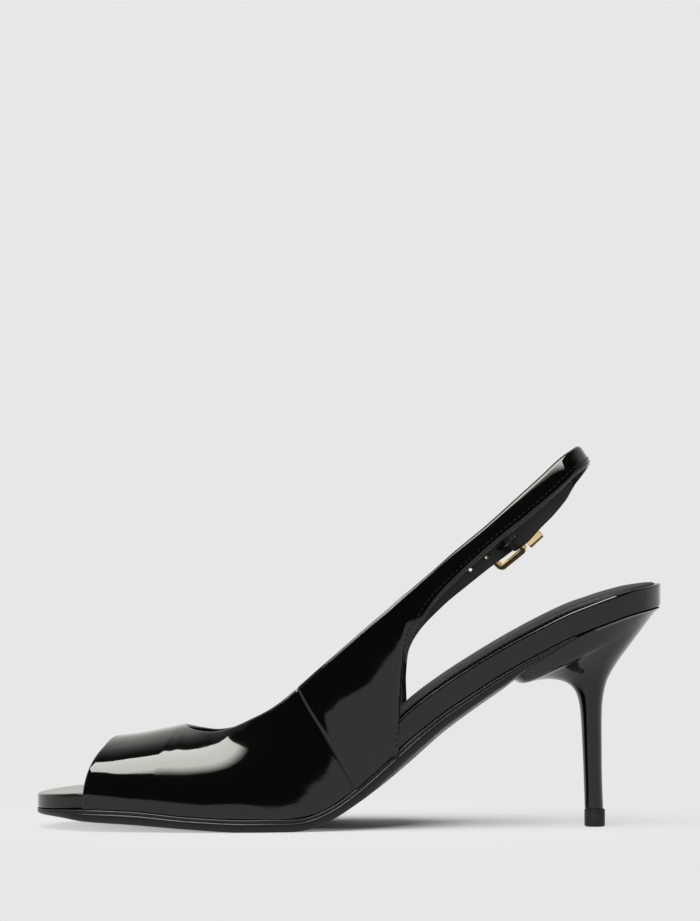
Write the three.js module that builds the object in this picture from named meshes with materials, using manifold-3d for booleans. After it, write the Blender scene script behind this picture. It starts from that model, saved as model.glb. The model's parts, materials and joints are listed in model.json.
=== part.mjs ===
// Patent slingback sandal with an open toe and a stiletto heel, right shoe, in millimetres.
// X runs from the toe (negative) to the heel, Y to the outer side of the foot, Z up.
// The origin is on the floor, under the flat of the tread below the ball of the foot.
import * as THREE from 'three';
import { mergeVertices } from 'three/addons/utils/BufferGeometryUtils.js';
import Module from 'manifold-3d';

const wasm = await Module();
wasm.setup();

// Driving dimensions
const shoeLength = 224.5;        // toe tip to the back of the footbed, along the floor
const ballWidth = 74;            // widest part of the footbed
const ballFromToe = 84;          // toe tip to the middle of the flat tread
const treadThickness = 4.6;      // outsole under the ball, with its bead
const toeSpring = 3.2;           // rise of the sole's upper face at the toe
const heelRise = 74.8;           // rise of the sole's upper face from ball to heel seat
const seatThickness = 9;         // wrapped footbed board at the heel seat, along Z
const sockThickness = 2.2;       // padded sock on the board
const wall = 1.4;                // upper with its lining
const seamStep = 0.35;           // the quarter lies that much prouder than the vamp at their seam
const clearance = 0.3;           // gap between pieces that lie on each other
const instepHeight = 36.7;       // top of the vamp at the throat, from the floor
const slingHeight = 137;         // top of the sling strap at the back, from the floor
const strapWidth = 7.2;          // sling strap and holed strap
const holeDiameter = 1.3;        // buckle holes
const holeSpacing = 7.5;
const holeStart = 1.1;           // more room before the first open hole
const topPieceHeight = 6.3;
const topPieceLength = 7.4;
const stemWidth = 9;             // heel stem across, at its foot
const buckleLength = 15.2;       // frame along the strap
const buckleWidth = 14.4;        // frame across the strap
const buckleWire = 2.3;          // thickness of the frame's rails
const buckleTilt = 0.56;         // how far the frame swings out from the strap, in radians
const buckleSag = 0.08;          // how far it hangs down from the strap's line, in radians
const prongWire = 1.3;
const keeperLength = 6.4;        // keeper along the strap
const keeperWall = 1;
const keeperPlay = 2;            // room above and below the strap
const foldLength = 32.5;         // sling strap turned back behind the bar

// Footbed outline: shares of the length, and of the ball width to each side of the centre line
const outlineRows = [
  { along: 0.000, inner: 0.045, outer: 0.030 },
  { along: 0.006, inner: 0.170, outer: 0.140 },
  { along: 0.022, inner: 0.275, outer: 0.240 },
  { along: 0.050, inner: 0.365, outer: 0.335 },
  { along: 0.085, inner: 0.412, outer: 0.390 },
  { along: 0.140, inner: 0.450, outer: 0.437 },
  { along: 0.220, inner: 0.480, outer: 0.475 },
  { along: 0.310, inner: 0.487, outer: 0.507 },
  { along: 0.380, inner: 0.468, outer: 0.511 },
  { along: 0.450, inner: 0.408, outer: 0.478 },
  { along: 0.530, inner: 0.325, outer: 0.412 },
  { along: 0.600, inner: 0.282, outer: 0.360 },
  { along: 0.670, inner: 0.272, outer: 0.333 },
  { along: 0.740, inner: 0.292, outer: 0.330 },
  { along: 0.810, inner: 0.330, outer: 0.345 },
  { along: 0.875, inner: 0.345, outer: 0.352 },
  { along: 0.930, inner: 0.322, outer: 0.325 },
  { along: 0.970, inner: 0.255, outer: 0.256 },
  { along: 0.992, inner: 0.150, outer: 0.150 },
  { along: 1.000, inner: 0.040, outer: 0.040 },
];

// Side view of the sole. spring is a share of the toe spring, rise of the heel rise,
// sole of the tread thickness, board of the seat thickness, camber of the sole there,
// reach is how far the sole stands out under the upper, as a share of wall and clearance
const sideRows = [
  { along: 0.00, spring: 0.75, rise: 0.000, sole: 0.38, board: 0.54, camber: 0.00, reach: 0.00 },
  { along: 0.04, spring: 0.94, rise: 0.000, sole: 0.64, board: 0.57, camber: 0.00, reach: 0.00 },
  { along: 0.08, spring: 1.00, rise: 0.000, sole: 0.93, board: 0.60, camber: 0.00, reach: 1.00 },
  { along: 0.16, spring: 0.86, rise: 0.000, sole: 1.05, board: 0.60, camber: 0.00, reach: 1.05 },
  { along: 0.24, spring: 0.31, rise: 0.000, sole: 0.97, board: 0.60, camber: 0.00, reach: 1.05 },
  { along: 0.32, spring: 0.00, rise: 0.000, sole: 1.00, board: 0.60, camber: 0.00, reach: 1.05 },
  { along: 0.37, spring: 0.00, rise: 0.000, sole: 1.00, board: 0.60, camber: 0.00, reach: 1.05 },
  { along: 0.41, spring: 0.00, rise: 0.000, sole: 1.00, board: 0.62, camber: 0.00, reach: 1.05 },
  { along: 0.44, spring: 0.00, rise: 0.014, sole: 1.06, board: 0.66, camber: 0.04, reach: 1.05 },
  { along: 0.48, spring: 0.00, rise: 0.070, sole: 1.20, board: 0.78, camber: 0.10, reach: 1.05 },
  { along: 0.52, spring: 0.00, rise: 0.160, sole: 1.48, board: 0.92, camber: 0.18, reach: 1.05 },
  { along: 0.56, spring: 0.00, rise: 0.266, sole: 1.80, board: 1.08, camber: 0.26, reach: 1.00 },
  { along: 0.60, spring: 0.00, rise: 0.374, sole: 1.95, board: 1.16, camber: 0.30, reach: 0.20 },
  { along: 0.65, spring: 0.00, rise: 0.493, sole: 1.73, board: 1.11, camber: 0.32, reach: 0.00 },
  { along: 0.70, spring: 0.00, rise: 0.594, sole: 1.52, board: 1.08, camber: 0.32, reach: 0.00 },
  { along: 0.75, spring: 0.00, rise: 0.690, sole: 1.34, board: 1.03, camber: 0.32, reach: 0.00 },
  { along: 0.80, spring: 0.00, rise: 0.774, sole: 0.66, board: 1.01, camber: 0.20, reach: 0.00 },
  { along: 0.85, spring: 0.00, rise: 0.851, sole: 0.20, board: 1.00, camber: 0.00, reach: 0.00 },
  { along: 0.88, spring: 0.00, rise: 0.888, sole: 0.04, board: 0.99, camber: 0.00, reach: 0.00 },
  { along: 0.91, spring: 0.00, rise: 0.922, sole: 0.00, board: 0.99, camber: 0.00, reach: 0.00 },
  { along: 0.95, spring: 0.00, rise: 0.964, sole: 0.00, board: 0.95, camber: 0.00, reach: 0.00 },
  { along: 1.00, spring: 0.00, rise: 1.000, sole: 0.00, board: 0.91, camber: 0.00, reach: 0.00 },
];

// Ribs of the upper on the footbed, from the toe opening to the rear corner of the quarter.
// low is where the rib leaves the feather edge, top where it ends: on the ridge of the vamp as
// far as the throat, then on the topline. across is a share of the ball width, height of the
// instep height on the vamp and of the sling height on the topline. round mixes a straight rib
// with an arc, arch is where the arc ends in degrees, 90 on the ridge, square fills its
// shoulder, and bulge swells the wall outwards in shares of the wall
const vampRows = [
  { low: 0.080, top: 0.132, across: 0.000, height: 0.891, round: 1, arch: 90, square: 2.40, bulge: 1.5 },
  { low: 0.116, top: 0.167, across: 0.000, height: 0.918, round: 1, arch: 90, square: 2.40, bulge: 1.2 },
  { low: 0.152, top: 0.201, across: 0.000, height: 0.957, round: 1, arch: 90, square: 2.40, bulge: 0.9 },
  { low: 0.188, top: 0.235, across: 0.000, height: 1.000, round: 1, arch: 90, square: 2.40, bulge: 0.8 },
];
const innerRows = [
  { low: 0.208, top: 0.239, across: 0.105, height: 0.268, round: 1.00, arch: 82, square: 2.40, bulge: 0.6 },
  { low: 0.232, top: 0.248, across: 0.190, height: 0.264, round: 0.98, arch: 73, square: 2.40, bulge: 0.6 },
  { low: 0.264, top: 0.262, across: 0.257, height: 0.260, round: 0.95, arch: 65, square: 2.40, bulge: 0.6 },
  { low: 0.305, top: 0.286, across: 0.315, height: 0.259, round: 0.90, arch: 57, square: 2.40, bulge: 0.7 },
  { low: 0.352, top: 0.312, across: 0.360, height: 0.269, round: 0.80, arch: 50, square: 2.40, bulge: 0.8 },
  { low: 0.404, top: 0.344, across: 0.395, height: 0.291, round: 0.68, arch: 44, square: 2.20, bulge: 1.0 },
  { low: 0.457, top: 0.381, across: 0.413, height: 0.322, round: 0.56, arch: 39, square: 2.20, bulge: 1.3 },
  { low: 0.510, top: 0.419, across: 0.404, height: 0.370, round: 0.45, arch: 35, square: 2.20, bulge: 1.5 },
  { low: 0.527, top: 0.448, across: 0.397, height: 0.412, round: 0.38, arch: 33, square: 2.20, bulge: 1.6 },
  { low: 0.541, top: 0.477, across: 0.388, height: 0.453, round: 0.32, arch: 31, square: 2.20, bulge: 1.7 },
  { low: 0.554, top: 0.505, across: 0.377, height: 0.493, round: 0.26, arch: 29, square: 2.20, bulge: 1.7 },
  { low: 0.566, top: 0.533, across: 0.365, height: 0.533, round: 0.20, arch: 27, square: 2.20, bulge: 1.6 },
  { low: 0.578, top: 0.560, across: 0.354, height: 0.570, round: 0.14, arch: 25, square: 2.20, bulge: 1.4 },
];
const outerRows = [
  { low: 0.208, top: 0.239, across: 0.105, height: 0.267, round: 1.00, arch: 82, square: 2.40, bulge: 0.6 },
  { low: 0.232, top: 0.248, across: 0.190, height: 0.262, round: 0.98, arch: 73, square: 2.40, bulge: 0.6 },
  { low: 0.264, top: 0.263, across: 0.258, height: 0.256, round: 0.95, arch: 65, square: 2.40, bulge: 0.6 },
  { low: 0.305, top: 0.288, across: 0.318, height: 0.250, round: 0.90, arch: 57, square: 2.40, bulge: 0.7 },
  { low: 0.352, top: 0.314, across: 0.366, height: 0.255, round: 0.80, arch: 50, square: 2.40, bulge: 0.8 },
  { low: 0.404, top: 0.345, across: 0.403, height: 0.269, round: 0.68, arch: 44, square: 2.20, bulge: 1.0 },
  { low: 0.457, top: 0.378, across: 0.423, height: 0.290, round: 0.56, arch: 39, square: 2.20, bulge: 1.3 },
  { low: 0.510, top: 0.411, across: 0.418, height: 0.322, round: 0.45, arch: 35, square: 2.20, bulge: 1.5 },
  { low: 0.530, top: 0.442, across: 0.411, height: 0.356, round: 0.38, arch: 33, square: 2.20, bulge: 1.6 },
  { low: 0.547, top: 0.473, across: 0.402, height: 0.399, round: 0.32, arch: 31, square: 2.20, bulge: 1.6 },
  { low: 0.562, top: 0.504, across: 0.391, height: 0.441, round: 0.26, arch: 29, square: 2.20, bulge: 1.6 },
  { low: 0.577, top: 0.534, across: 0.379, height: 0.482, round: 0.20, arch: 27, square: 2.20, bulge: 1.4 },
  { low: 0.591, top: 0.563, across: 0.368, height: 0.522, round: 0.14, arch: 25, square: 2.20, bulge: 1.2 },
];

// Free ribs behind the rear corner: both ends are free. The rear edge of the quarter sweeps
// up into the strap, whose ribs then stay about a strap's width long
const innerStrapRows = [
  { lowAlong: 0.580, lowAcross: 0.318, low: 0.292, along: 0.573, across: 0.346, height: 0.589, bulge: 1.2 },
  { lowAlong: 0.582, lowAcross: 0.328, low: 0.378, along: 0.586, across: 0.334, height: 0.608, bulge: 1.0 },
  { lowAlong: 0.588, lowAcross: 0.336, low: 0.460, along: 0.600, across: 0.324, height: 0.628, bulge: 0.6 },
  { lowAlong: 0.605, lowAcross: 0.338, low: 0.517, along: 0.615, across: 0.317, height: 0.650, bulge: 0.4 },
  { lowAlong: 0.637, lowAcross: 0.335, low: 0.598, along: 0.634, across: 0.311, height: 0.677, bulge: 0.3 },
  { lowAlong: 0.686, lowAcross: 0.327, low: 0.679, along: 0.668, across: 0.306, height: 0.726, bulge: 0.3 },
  { lowAlong: 0.737, lowAcross: 0.319, low: 0.754, along: 0.716, across: 0.297, height: 0.791, bulge: 0.3 },
  { lowAlong: 0.787, lowAcross: 0.306, low: 0.820, along: 0.764, across: 0.284, height: 0.861, bulge: 0.3 },
  { lowAlong: 0.831, lowAcross: 0.286, low: 0.882, along: 0.806, across: 0.264, height: 0.923, bulge: 0.3 },
  { lowAlong: 0.862, lowAcross: 0.250, low: 0.930, along: 0.838, across: 0.228, height: 0.971, bulge: 0.3 },
  { lowAlong: 0.883, lowAcross: 0.165, low: 0.954, along: 0.865, across: 0.148, height: 0.999, bulge: 0.2 },
  { lowAlong: 0.889, lowAcross: 0.000, low: 0.959, along: 0.872, across: 0.000, height: 1.000, bulge: 0.0 },
  { lowAlong: 0.886, lowAcross: -0.150, low: 0.945, along: 0.868, across: -0.135, height: 0.992, bulge: -0.2 },
  { lowAlong: 0.868, lowAcross: -0.240, low: 0.905, along: 0.850, across: -0.222, height: 0.956, bulge: -0.3 },
  { lowAlong: 0.846, lowAcross: -0.278, low: 0.862, along: 0.822, across: -0.262, height: 0.898, bulge: -0.3 },
  { lowAlong: 0.827, lowAcross: -0.292, low: 0.826, along: 0.802, across: -0.277, height: 0.862, bulge: -0.3 },
  { lowAlong: 0.807, lowAcross: -0.298, low: 0.793, along: 0.784, across: -0.284, height: 0.831, bulge: -0.3 },
  { lowAlong: 0.788, lowAcross: -0.302, low: 0.758, along: 0.766, across: -0.289, height: 0.798, bulge: -0.2 },
  { lowAlong: 0.776, lowAcross: -0.303, low: 0.741, along: 0.755, across: -0.291, height: 0.781, bulge: 0.0 },
];
const outerStrapRows = [
  { lowAlong: 0.593, lowAcross: 0.378, low: 0.307, along: 0.578, across: 0.364, height: 0.543, bulge: 0.9 },
  { lowAlong: 0.592, lowAcross: 0.376, low: 0.380, along: 0.592, across: 0.360, height: 0.562, bulge: 0.6 },
  { lowAlong: 0.598, lowAcross: 0.370, low: 0.456, along: 0.606, across: 0.354, height: 0.583, bulge: 0.4 },
  { lowAlong: 0.617, lowAcross: 0.362, low: 0.515, along: 0.619, across: 0.348, height: 0.601, bulge: 0.3 },
  { lowAlong: 0.653, lowAcross: 0.347, low: 0.579, along: 0.632, across: 0.335, height: 0.619, bulge: 0.3 },
  { lowAlong: 0.690, lowAcross: 0.332, low: 0.630, along: 0.670, across: 0.318, height: 0.670, bulge: 0.3 },
  { lowAlong: 0.729, lowAcross: 0.325, low: 0.681, along: 0.709, across: 0.312, height: 0.721, bulge: 0.3 },
  { lowAlong: 0.768, lowAcross: 0.332, low: 0.729, along: 0.748, across: 0.320, height: 0.769, bulge: 0.2 },
  { lowAlong: 0.804, lowAcross: 0.333, low: 0.782, along: 0.781, across: 0.322, height: 0.820, bulge: 0.1 },
  { lowAlong: 0.831, lowAcross: 0.327, low: 0.831, along: 0.807, across: 0.316, height: 0.868, bulge: 0.0 },
];

// Heel, from its lip to its foot. front and back are the two edges of a section in side view,
// as shares of the length and of the heel rise, half its half width as a share of the stem
// width, nose how narrow the section is at its front
const heelRows = [
  { front: 0.7773, frontRise: 0.614, back: 0.9898, backRise: 0.966, half: 2.32, nose: 0.55 },
  { front: 0.7973, frontRise: 0.627, back: 0.9782, backRise: 0.919, half: 2.15, nose: 0.52 },
  { front: 0.8187, frontRise: 0.635, back: 0.9639, backRise: 0.858, half: 1.93, nose: 0.53 },
  { front: 0.8383, frontRise: 0.629, back: 0.9488, backRise: 0.795, half: 1.66, nose: 0.57 },
  { front: 0.8521, frontRise: 0.613, back: 0.9345, backRise: 0.735, half: 1.37, nose: 0.64 },
  { front: 0.8610, frontRise: 0.588, back: 0.9225, backRise: 0.677, half: 1.13, nose: 0.71 },
  { front: 0.8668, frontRise: 0.553, back: 0.9140, backRise: 0.621, half: 0.94, nose: 0.77 },
  { front: 0.8704, frontRise: 0.506, back: 0.9085, backRise: 0.546, half: 0.79, nose: 0.81 },
  { front: 0.8728, frontRise: 0.436, back: 0.9065, backRise: 0.457, half: 0.68, nose: 0.84 },
  { front: 0.8753, frontRise: 0.293, back: 0.9065, backRise: 0.300, half: 0.56, nose: 0.88 },
  { front: 0.8771, frontRise: 0.156, back: 0.9069, backRise: 0.156, half: 0.52, nose: 0.90 },
  { front: 0.8788, frontRise: 0.000, back: 0.9087, backRise: 0.000, half: 0.50, nose: 0.90 },
];

// Plan of the heel's seat in front of the breast: share of the length, share of the full width
const lipRows = [
  { along: 0.765, width: 0.00 },
  { along: 0.768, width: 0.34 },
  { along: 0.777, width: 0.60 },
  { along: 0.795, width: 0.78 },
  { along: 0.825, width: 0.90 },
  { along: 0.862, width: 0.985 },
];

const black = { color: 0x0b0a0a, roughness: 0.12, metalness: 0 };
const dull = { color: 0x17171a, roughness: 0.75, metalness: 0 };
const rubber = { color: 0x101010, roughness: 0.6, metalness: 0 };
const gold = { color: 0xd9b878, roughness: 0.2, metalness: 1 };

// A smooth curve through table rows: every column as a function of the key column
function tableCurve(rows, key) {
  const slopeAt = (column, i) => {
    const before = rows[Math.max(i - 1, 0)];
    const after = rows[Math.min(i + 1, rows.length - 1)];
    return (after[column] - before[column]) / (after[key] - before[key]);
  };
  return (column, at) => {
    let i = 0;
    while (i < rows.length - 2 && at > rows[i + 1][key]) i += 1;
    const span = rows[i + 1][key] - rows[i][key];
    const t = THREE.MathUtils.clamp((at - rows[i][key]) / span, 0, 1);
    const start = rows[i][column];
    const end = rows[i + 1][column];
    const a = slopeAt(column, i) * span;
    const b = slopeAt(column, i + 1) * span;
    return start * (2 * t ** 3 - 3 * t ** 2 + 1) + a * (t ** 3 - 2 * t ** 2 + t)
      + end * (3 * t ** 2 - 2 * t ** 3) + b * (t ** 3 - t ** 2);
  };
}

const xOf = (along) => along * shoeLength - ballFromToe;
const alongOf = (x) => (x + ballFromToe) / shoeLength;

// Side view lines, as heights over the floor at a share of the length
const side = tableCurve(sideRows, 'along');
const seatLine = (along) => (
  treadThickness + toeSpring * side('spring', along) + heelRise * side('rise', along)
);
const treadLine = (along) => Math.max(0, seatLine(along) - treadThickness * side('sole', along));
const boardTop = (along) => seatLine(along) + clearance + seatThickness * side('board', along);

// The footbed's outline as one closed spline, toe tip first, round the inner side to the heel
// and back along the outer side
const outlineCurve = new THREE.CatmullRomCurve3([
  ...outlineRows.map((row) => new THREE.Vector3(xOf(row.along), -row.inner * ballWidth, 0)),
  ...outlineRows.toReversed().map((row) => new THREE.Vector3(xOf(row.along), row.outer * ballWidth, 0)),
], true, 'centripetal');
const outlineSamples = outlineCurve.getPoints(1600);

// The outer face of the upper's feather edge, a wall and a clearance outside the footbed
const featherSamples = outlineSamples.map((point, i) => {
  const before = outlineSamples[(i + outlineSamples.length - 2) % (outlineSamples.length - 1)];
  const after = outlineSamples[(i + 1) % (outlineSamples.length - 1)];
  const outward = new THREE.Vector3(after.y - before.y, before.x - after.x, 0).normalize();
  return point.clone().addScaledVector(outward, wall + clearance);
});

// Half width of an outline at x on one side: -1 is the inner side, 1 the outer side
function halfWidth(x, sideSign, samples = outlineSamples) {
  let best = 0;
  for (let i = 1; i < samples.length; i += 1) {
    const a = samples[i - 1];
    const b = samples[i];
    const crosses = (a.x - x) * (b.x - x) <= 0 && a.x !== b.x;
    if (crosses) {
      const y = a.y + ((b.y - a.y) * (x - a.x)) / (b.x - a.x);
      if (y * sideSign > best) best = y * sideSign;
    }
  }
  return best;
}

// A closed body from triangles of points: shared points are merged, slivers dropped
function solidOf(triangles) {
  const positions = triangles.flatMap((corner) => [corner.x, corner.y, corner.z]);
  const loose = new THREE.BufferGeometry();
  loose.setAttribute('position', new THREE.Float32BufferAttribute(positions, 3));
  const merged = mergeVertices(loose, 1e-3);
  const index = merged.getIndex().array;
  const kept = [];
  for (let i = 0; i < index.length; i += 3) {
    const [a, b, c] = [index[i], index[i + 1], index[i + 2]];
    if (a !== b && b !== c && a !== c) kept.push(a, b, c);
  }
  merged.setIndex(kept);
  return merged;
}

// Both triangles of the quad a b c d, which runs anticlockwise seen from outside
const quad = (a, b, c, d) => [a, b, c, a, c, d];

function toManifold(geometry) {
  const plain = new THREE.BufferGeometry();
  const source = geometry.index ? geometry.toNonIndexed() : geometry;
  plain.setAttribute('position', source.getAttribute('position').clone());
  const merged = mergeVertices(plain, 1e-4);
  return new wasm.Manifold(new wasm.Mesh({
    numProp: 3,
    vertProperties: new Float32Array(merged.getAttribute('position').array),
    triVerts: new Uint32Array(merged.getIndex().array),
  }));
}
function toGeometry(manifold) {
  const mesh = manifold.getMesh();
  const geometry = new THREE.BufferGeometry();
  geometry.setAttribute('position', new THREE.Float32BufferAttribute(mesh.vertProperties, 3));
  geometry.setIndex(Array.from(mesh.triVerts));
  return geometry;
}

// What lies between two places along the shoe
function cutOff(geometry, fromX, toX) {
  const reach = 2 * shoeLength;
  const low = Math.max(fromX, -reach);
  const high = Math.min(toX, reach);
  const box = new THREE.BoxGeometry(high - low, reach, reach).translate((low + high) / 2, 0, 0);
  return toGeometry(toManifold(geometry).intersect(toManifold(box)));
}

// A slab with the footbed's outline, made of ribs that run from the middle of the underside
// round the edge to the middle of the top. edge lists each rib's stops: inset from the outline
// in shares of measure, and height at a share of the length. The middle line stops short of
// both round ends
const stopsPerRow = 2;
const endRoom = 0.09;
function slab({ edge, measure, underMiddle, topMiddle, reach = () => 0 }) {
  const rows = outlineRows.length;
  const count = 2 * rows * stopsPerRow;
  const last = (rows - 1) * stopsPerRow;
  const first = xOf(endRoom);
  const end = xOf(1 - endRoom);
  const plan = Array.from({ length: count }, (unused, i) => outlineCurve.getPoint(i / count));
  const mate = (i) => (2 * last + stopsPerRow - i + count) % count;
  const middle = (i) => plan[i].clone().add(plan[mate(i)]).multiplyScalar(0.5);
  const front = plan.findIndex((point, i) => i <= last && point.x > first);
  const rear = plan.findIndex((point, i) => i <= last && point.x > end);
  const spine = (i) => {
    const onInner = i <= last ? i : mate(i);
    const atToe = i > 2 * last + stopsPerRow;
    const paired = onInner <= last ? onInner : last * !atToe;
    return middle(THREE.MathUtils.clamp(paired, front, rear));
  };
  const ribs = plan.map((point, i) => {
    const before = plan[(i + count - 1) % count];
    const after = plan[(i + 1) % count];
    const inward = new THREE.Vector3(before.y - after.y, after.x - before.x, 0).normalize();
    const out = reach(alongOf(point.x));
    const centre = spine(i);
    const rib = [new THREE.Vector3(centre.x, centre.y, underMiddle(alongOf(centre.x)))];
    for (const stop of edge) {
      const at = point.clone().addScaledVector(inward, stop.inset * measure - out);
      at.z = stop.height(THREE.MathUtils.clamp(alongOf(at.x), 0, 1));
      rib.push(at);
    }
    rib.push(new THREE.Vector3(centre.x, centre.y, topMiddle(alongOf(centre.x))));
    return rib;
  });
  const triangles = [];
  ribs.forEach((rib, i) => {
    const next = ribs[(i + 1) % count];
    for (let j = 0; j + 1 < rib.length; j += 1) {
      triangles.push(...quad(rib[j], next[j], next[j + 1], rib[j + 1]));
    }
  });
  return solidOf(triangles);
}

// Wrapped footbed board
const boardUnder = (along) => seatLine(along) + clearance;
function footbed() {
  const deep = (share) => (along) => THREE.MathUtils.lerp(boardUnder(along), boardTop(along), share);
  return slab({
    measure: seatThickness,
    underMiddle: boardUnder,
    topMiddle: boardTop,
    edge: [
      { inset: 0.155, height: boardUnder },
      { inset: 0.04, height: deep(0.05) },
      { inset: 0, height: deep(0.2) },
      { inset: 0, height: deep(0.76) },
      { inset: 0.045, height: deep(0.93) },
      { inset: 0.165, height: deep(1) },
    ],
  });
}

// Outsole, skived away under the heel and cut off where the breast covers it
const soleEnd = 0.862;
const skivedEdge = 0.6;
const soleUnder = (along) => Math.min(treadLine(along), seatLine(along) - skivedEdge);
const soleShare = (share) => (along) => THREE.MathUtils.lerp(soleUnder(along), seatLine(along), share);
const cambered = (share) => (along) => soleShare(side('camber', along) * share)(along);
const soleSide = (share) => (along) => {
  const camber = side('camber', along);
  return soleShare(camber + (1 - camber) * share)(along);
};
const outReach = (along) => side('reach', along) * (wall + clearance);
function outsole() {
  const whole = slab({
    measure: treadThickness,
    reach: outReach,
    underMiddle: soleUnder,
    topMiddle: seatLine,
    edge: [
      { inset: 1.95, height: cambered(0.35) },
      { inset: 0.565, height: cambered(0.85) },
      { inset: 0.15, height: soleSide(0.06) },
      { inset: 0, height: soleSide(0.25) },
      { inset: 0, height: soleSide(0.66) },
      { inset: 0.1, height: soleSide(0.72) },
      { inset: 0, height: soleSide(0.78) },
      { inset: 0, height: soleSide(0.95) },
      { inset: 0.11, height: soleSide(1) },
    ],
  });
  return cutOff(whole, -Infinity, xOf(soleEnd));
}

// Padded sock on the board, from under the vamp to the back of the seat, where it thins out
const sockStart = 0.1;
const sockThins = 0.78;
const sockBack = 0.35;
const sockCrown = 1.15;
function sock() {
  const under = (along) => boardTop(along) + clearance;
  const taper = (along) => THREE.MathUtils.lerp(1, sockBack, THREE.MathUtils.smoothstep(along, sockThins, 1));
  const padded = (share) => (along) => under(along) + share * taper(along) * sockThickness;
  const whole = slab({
    measure: sockThickness,
    underMiddle: under,
    topMiddle: padded(sockCrown),
    edge: [
      { inset: 1, height: under },
      { inset: 1, height: padded(0.3) },
      { inset: 1.4, height: padded(0.8) },
      { inset: 2.1, height: padded(1) },
      { inset: 4.6, height: padded(1.1) },
    ],
  });
  return cutOff(whole, xOf(sockStart), Infinity);
}

// The upper: ribs from the feather edge, or from the free rear edge, up to the topline
const upperLow = (along) => seatLine(along) + clearance;
function footRib(row, sideSign, onVamp) {
  const x = xOf(row.low);
  return {
    low: new THREE.Vector3(x, sideSign * halfWidth(x, sideSign, featherSamples), upperLow(row.low)),
    top: new THREE.Vector3(
      xOf(row.top),
      sideSign * row.across * ballWidth,
      row.height * (onVamp ? instepHeight : slingHeight),
    ),
    round: row.round,
    arch: row.arch,
    square: row.square,
    bulge: row.bulge,
  };
}
function strapRib(row, sideSign) {
  return {
    low: new THREE.Vector3(xOf(row.lowAlong), sideSign * row.lowAcross * ballWidth, row.low * slingHeight),
    top: new THREE.Vector3(xOf(row.along), sideSign * row.across * ballWidth, row.height * slingHeight),
    round: 0,
    arch: 25,
    square: 2.2,
    bulge: row.bulge,
  };
}

// A point on a rib: an arch over the foot mixed with a straight line
function ribPoint(rib, v, sideSign) {
  const end = THREE.MathUtils.degToRad(rib.arch);
  const power = 2 / rib.square;
  const inwards = (angle) => 1 - Math.max(Math.cos(angle), 0) ** power;
  const upwards = (angle) => Math.sin(angle) ** power;
  const across = THREE.MathUtils.lerp(v, inwards(v * end) / inwards(end), rib.round);
  const up = THREE.MathUtils.lerp(v, upwards(v * end) / upwards(end), rib.round);
  const lead = THREE.MathUtils.lerp(v, 1 - (1 - across) ** 1.6, rib.round);
  const point = new THREE.Vector3(
    THREE.MathUtils.lerp(rib.low.x, rib.top.x, lead),
    THREE.MathUtils.lerp(rib.low.y, rib.top.y, across),
    THREE.MathUtils.lerp(rib.low.z, rib.top.z, up),
  );
  point.y += sideSign * rib.bulge * wall * Math.sin(Math.PI * v);
  return point;
}

// Ribs at places between the rows, on smooth curves through the rows
function fillRibs(ribs, places) {
  const curveThrough = (pick) => {
    const values = ribs.map(pick);
    return (t) => {
      const i = Math.min(Math.floor(t), values.length - 2);
      const p1 = values[i];
      const p2 = values[i + 1];
      const m1 = (p2 - values[Math.max(i - 1, 0)]) / (i > 0 ? 2 : 1);
      const m2 = (values[Math.min(i + 2, values.length - 1)] - p1) / (i + 2 < values.length ? 2 : 1);
      const s = t - i;
      return p1 * (2 * s ** 3 - 3 * s ** 2 + 1) + m1 * (s ** 3 - 2 * s ** 2 + s)
        + p2 * (3 * s ** 2 - 2 * s ** 3) + m2 * (s ** 3 - s ** 2);
    };
  };
  const vector = (end) => {
    const axes = ['x', 'y', 'z'].map((axis) => curveThrough((rib) => rib[end][axis]));
    return (t) => new THREE.Vector3(...axes.map((axis) => axis(t)));
  };
  const low = vector('low');
  const top = vector('top');
  const round = curveThrough((rib) => rib.round);
  const arch = curveThrough((rib) => rib.arch);
  const square = curveThrough((rib) => rib.square);
  const bulge = curveThrough((rib) => rib.bulge);
  return places.map((t) => ({
    low: low(t), top: top(t), round: round(t), arch: arch(t), square: square(t), bulge: bulge(t),
  }));
}

const ribsPerRow = 2;
const stopsPerRib = 10;
const throatRow = vampRows.length - 1;

// The seam between vamp and quarter lies on one row of each side. The step behind it takes up a
// small part of the way to the next row
const seamRow = vampRows.length + 7;
const seamRun = 0.06;

// Places of the ribs from the first row to a last one
const placesTo = (lastRow) => Array.from({ length: lastRow * ribsPerRow + 1 }, (unused, i) => i / ribsPerRow);
const stopShares = Array.from({ length: stopsPerRib + 1 }, (unused, i) => i / stopsPerRib);

// The frame of the strap at one rib: down along the strap, across it and out from the foot
function strapFrame(outer, i) {
  const middle = (rib) => rib[0].clone().add(rib.at(-1)).multiplyScalar(0.5);
  const origin = middle(outer[i]);
  const across = outer[i].at(-1).clone().sub(outer[i][0]).normalize();
  const down = origin.clone().sub(middle(outer[i - 1]));
  down.addScaledVector(across, -down.dot(across)).normalize();
  const out = new THREE.Vector3().crossVectors(across, down);
  if (out.y < 0) out.negate();
  return { origin, across, down, out };
}

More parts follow.
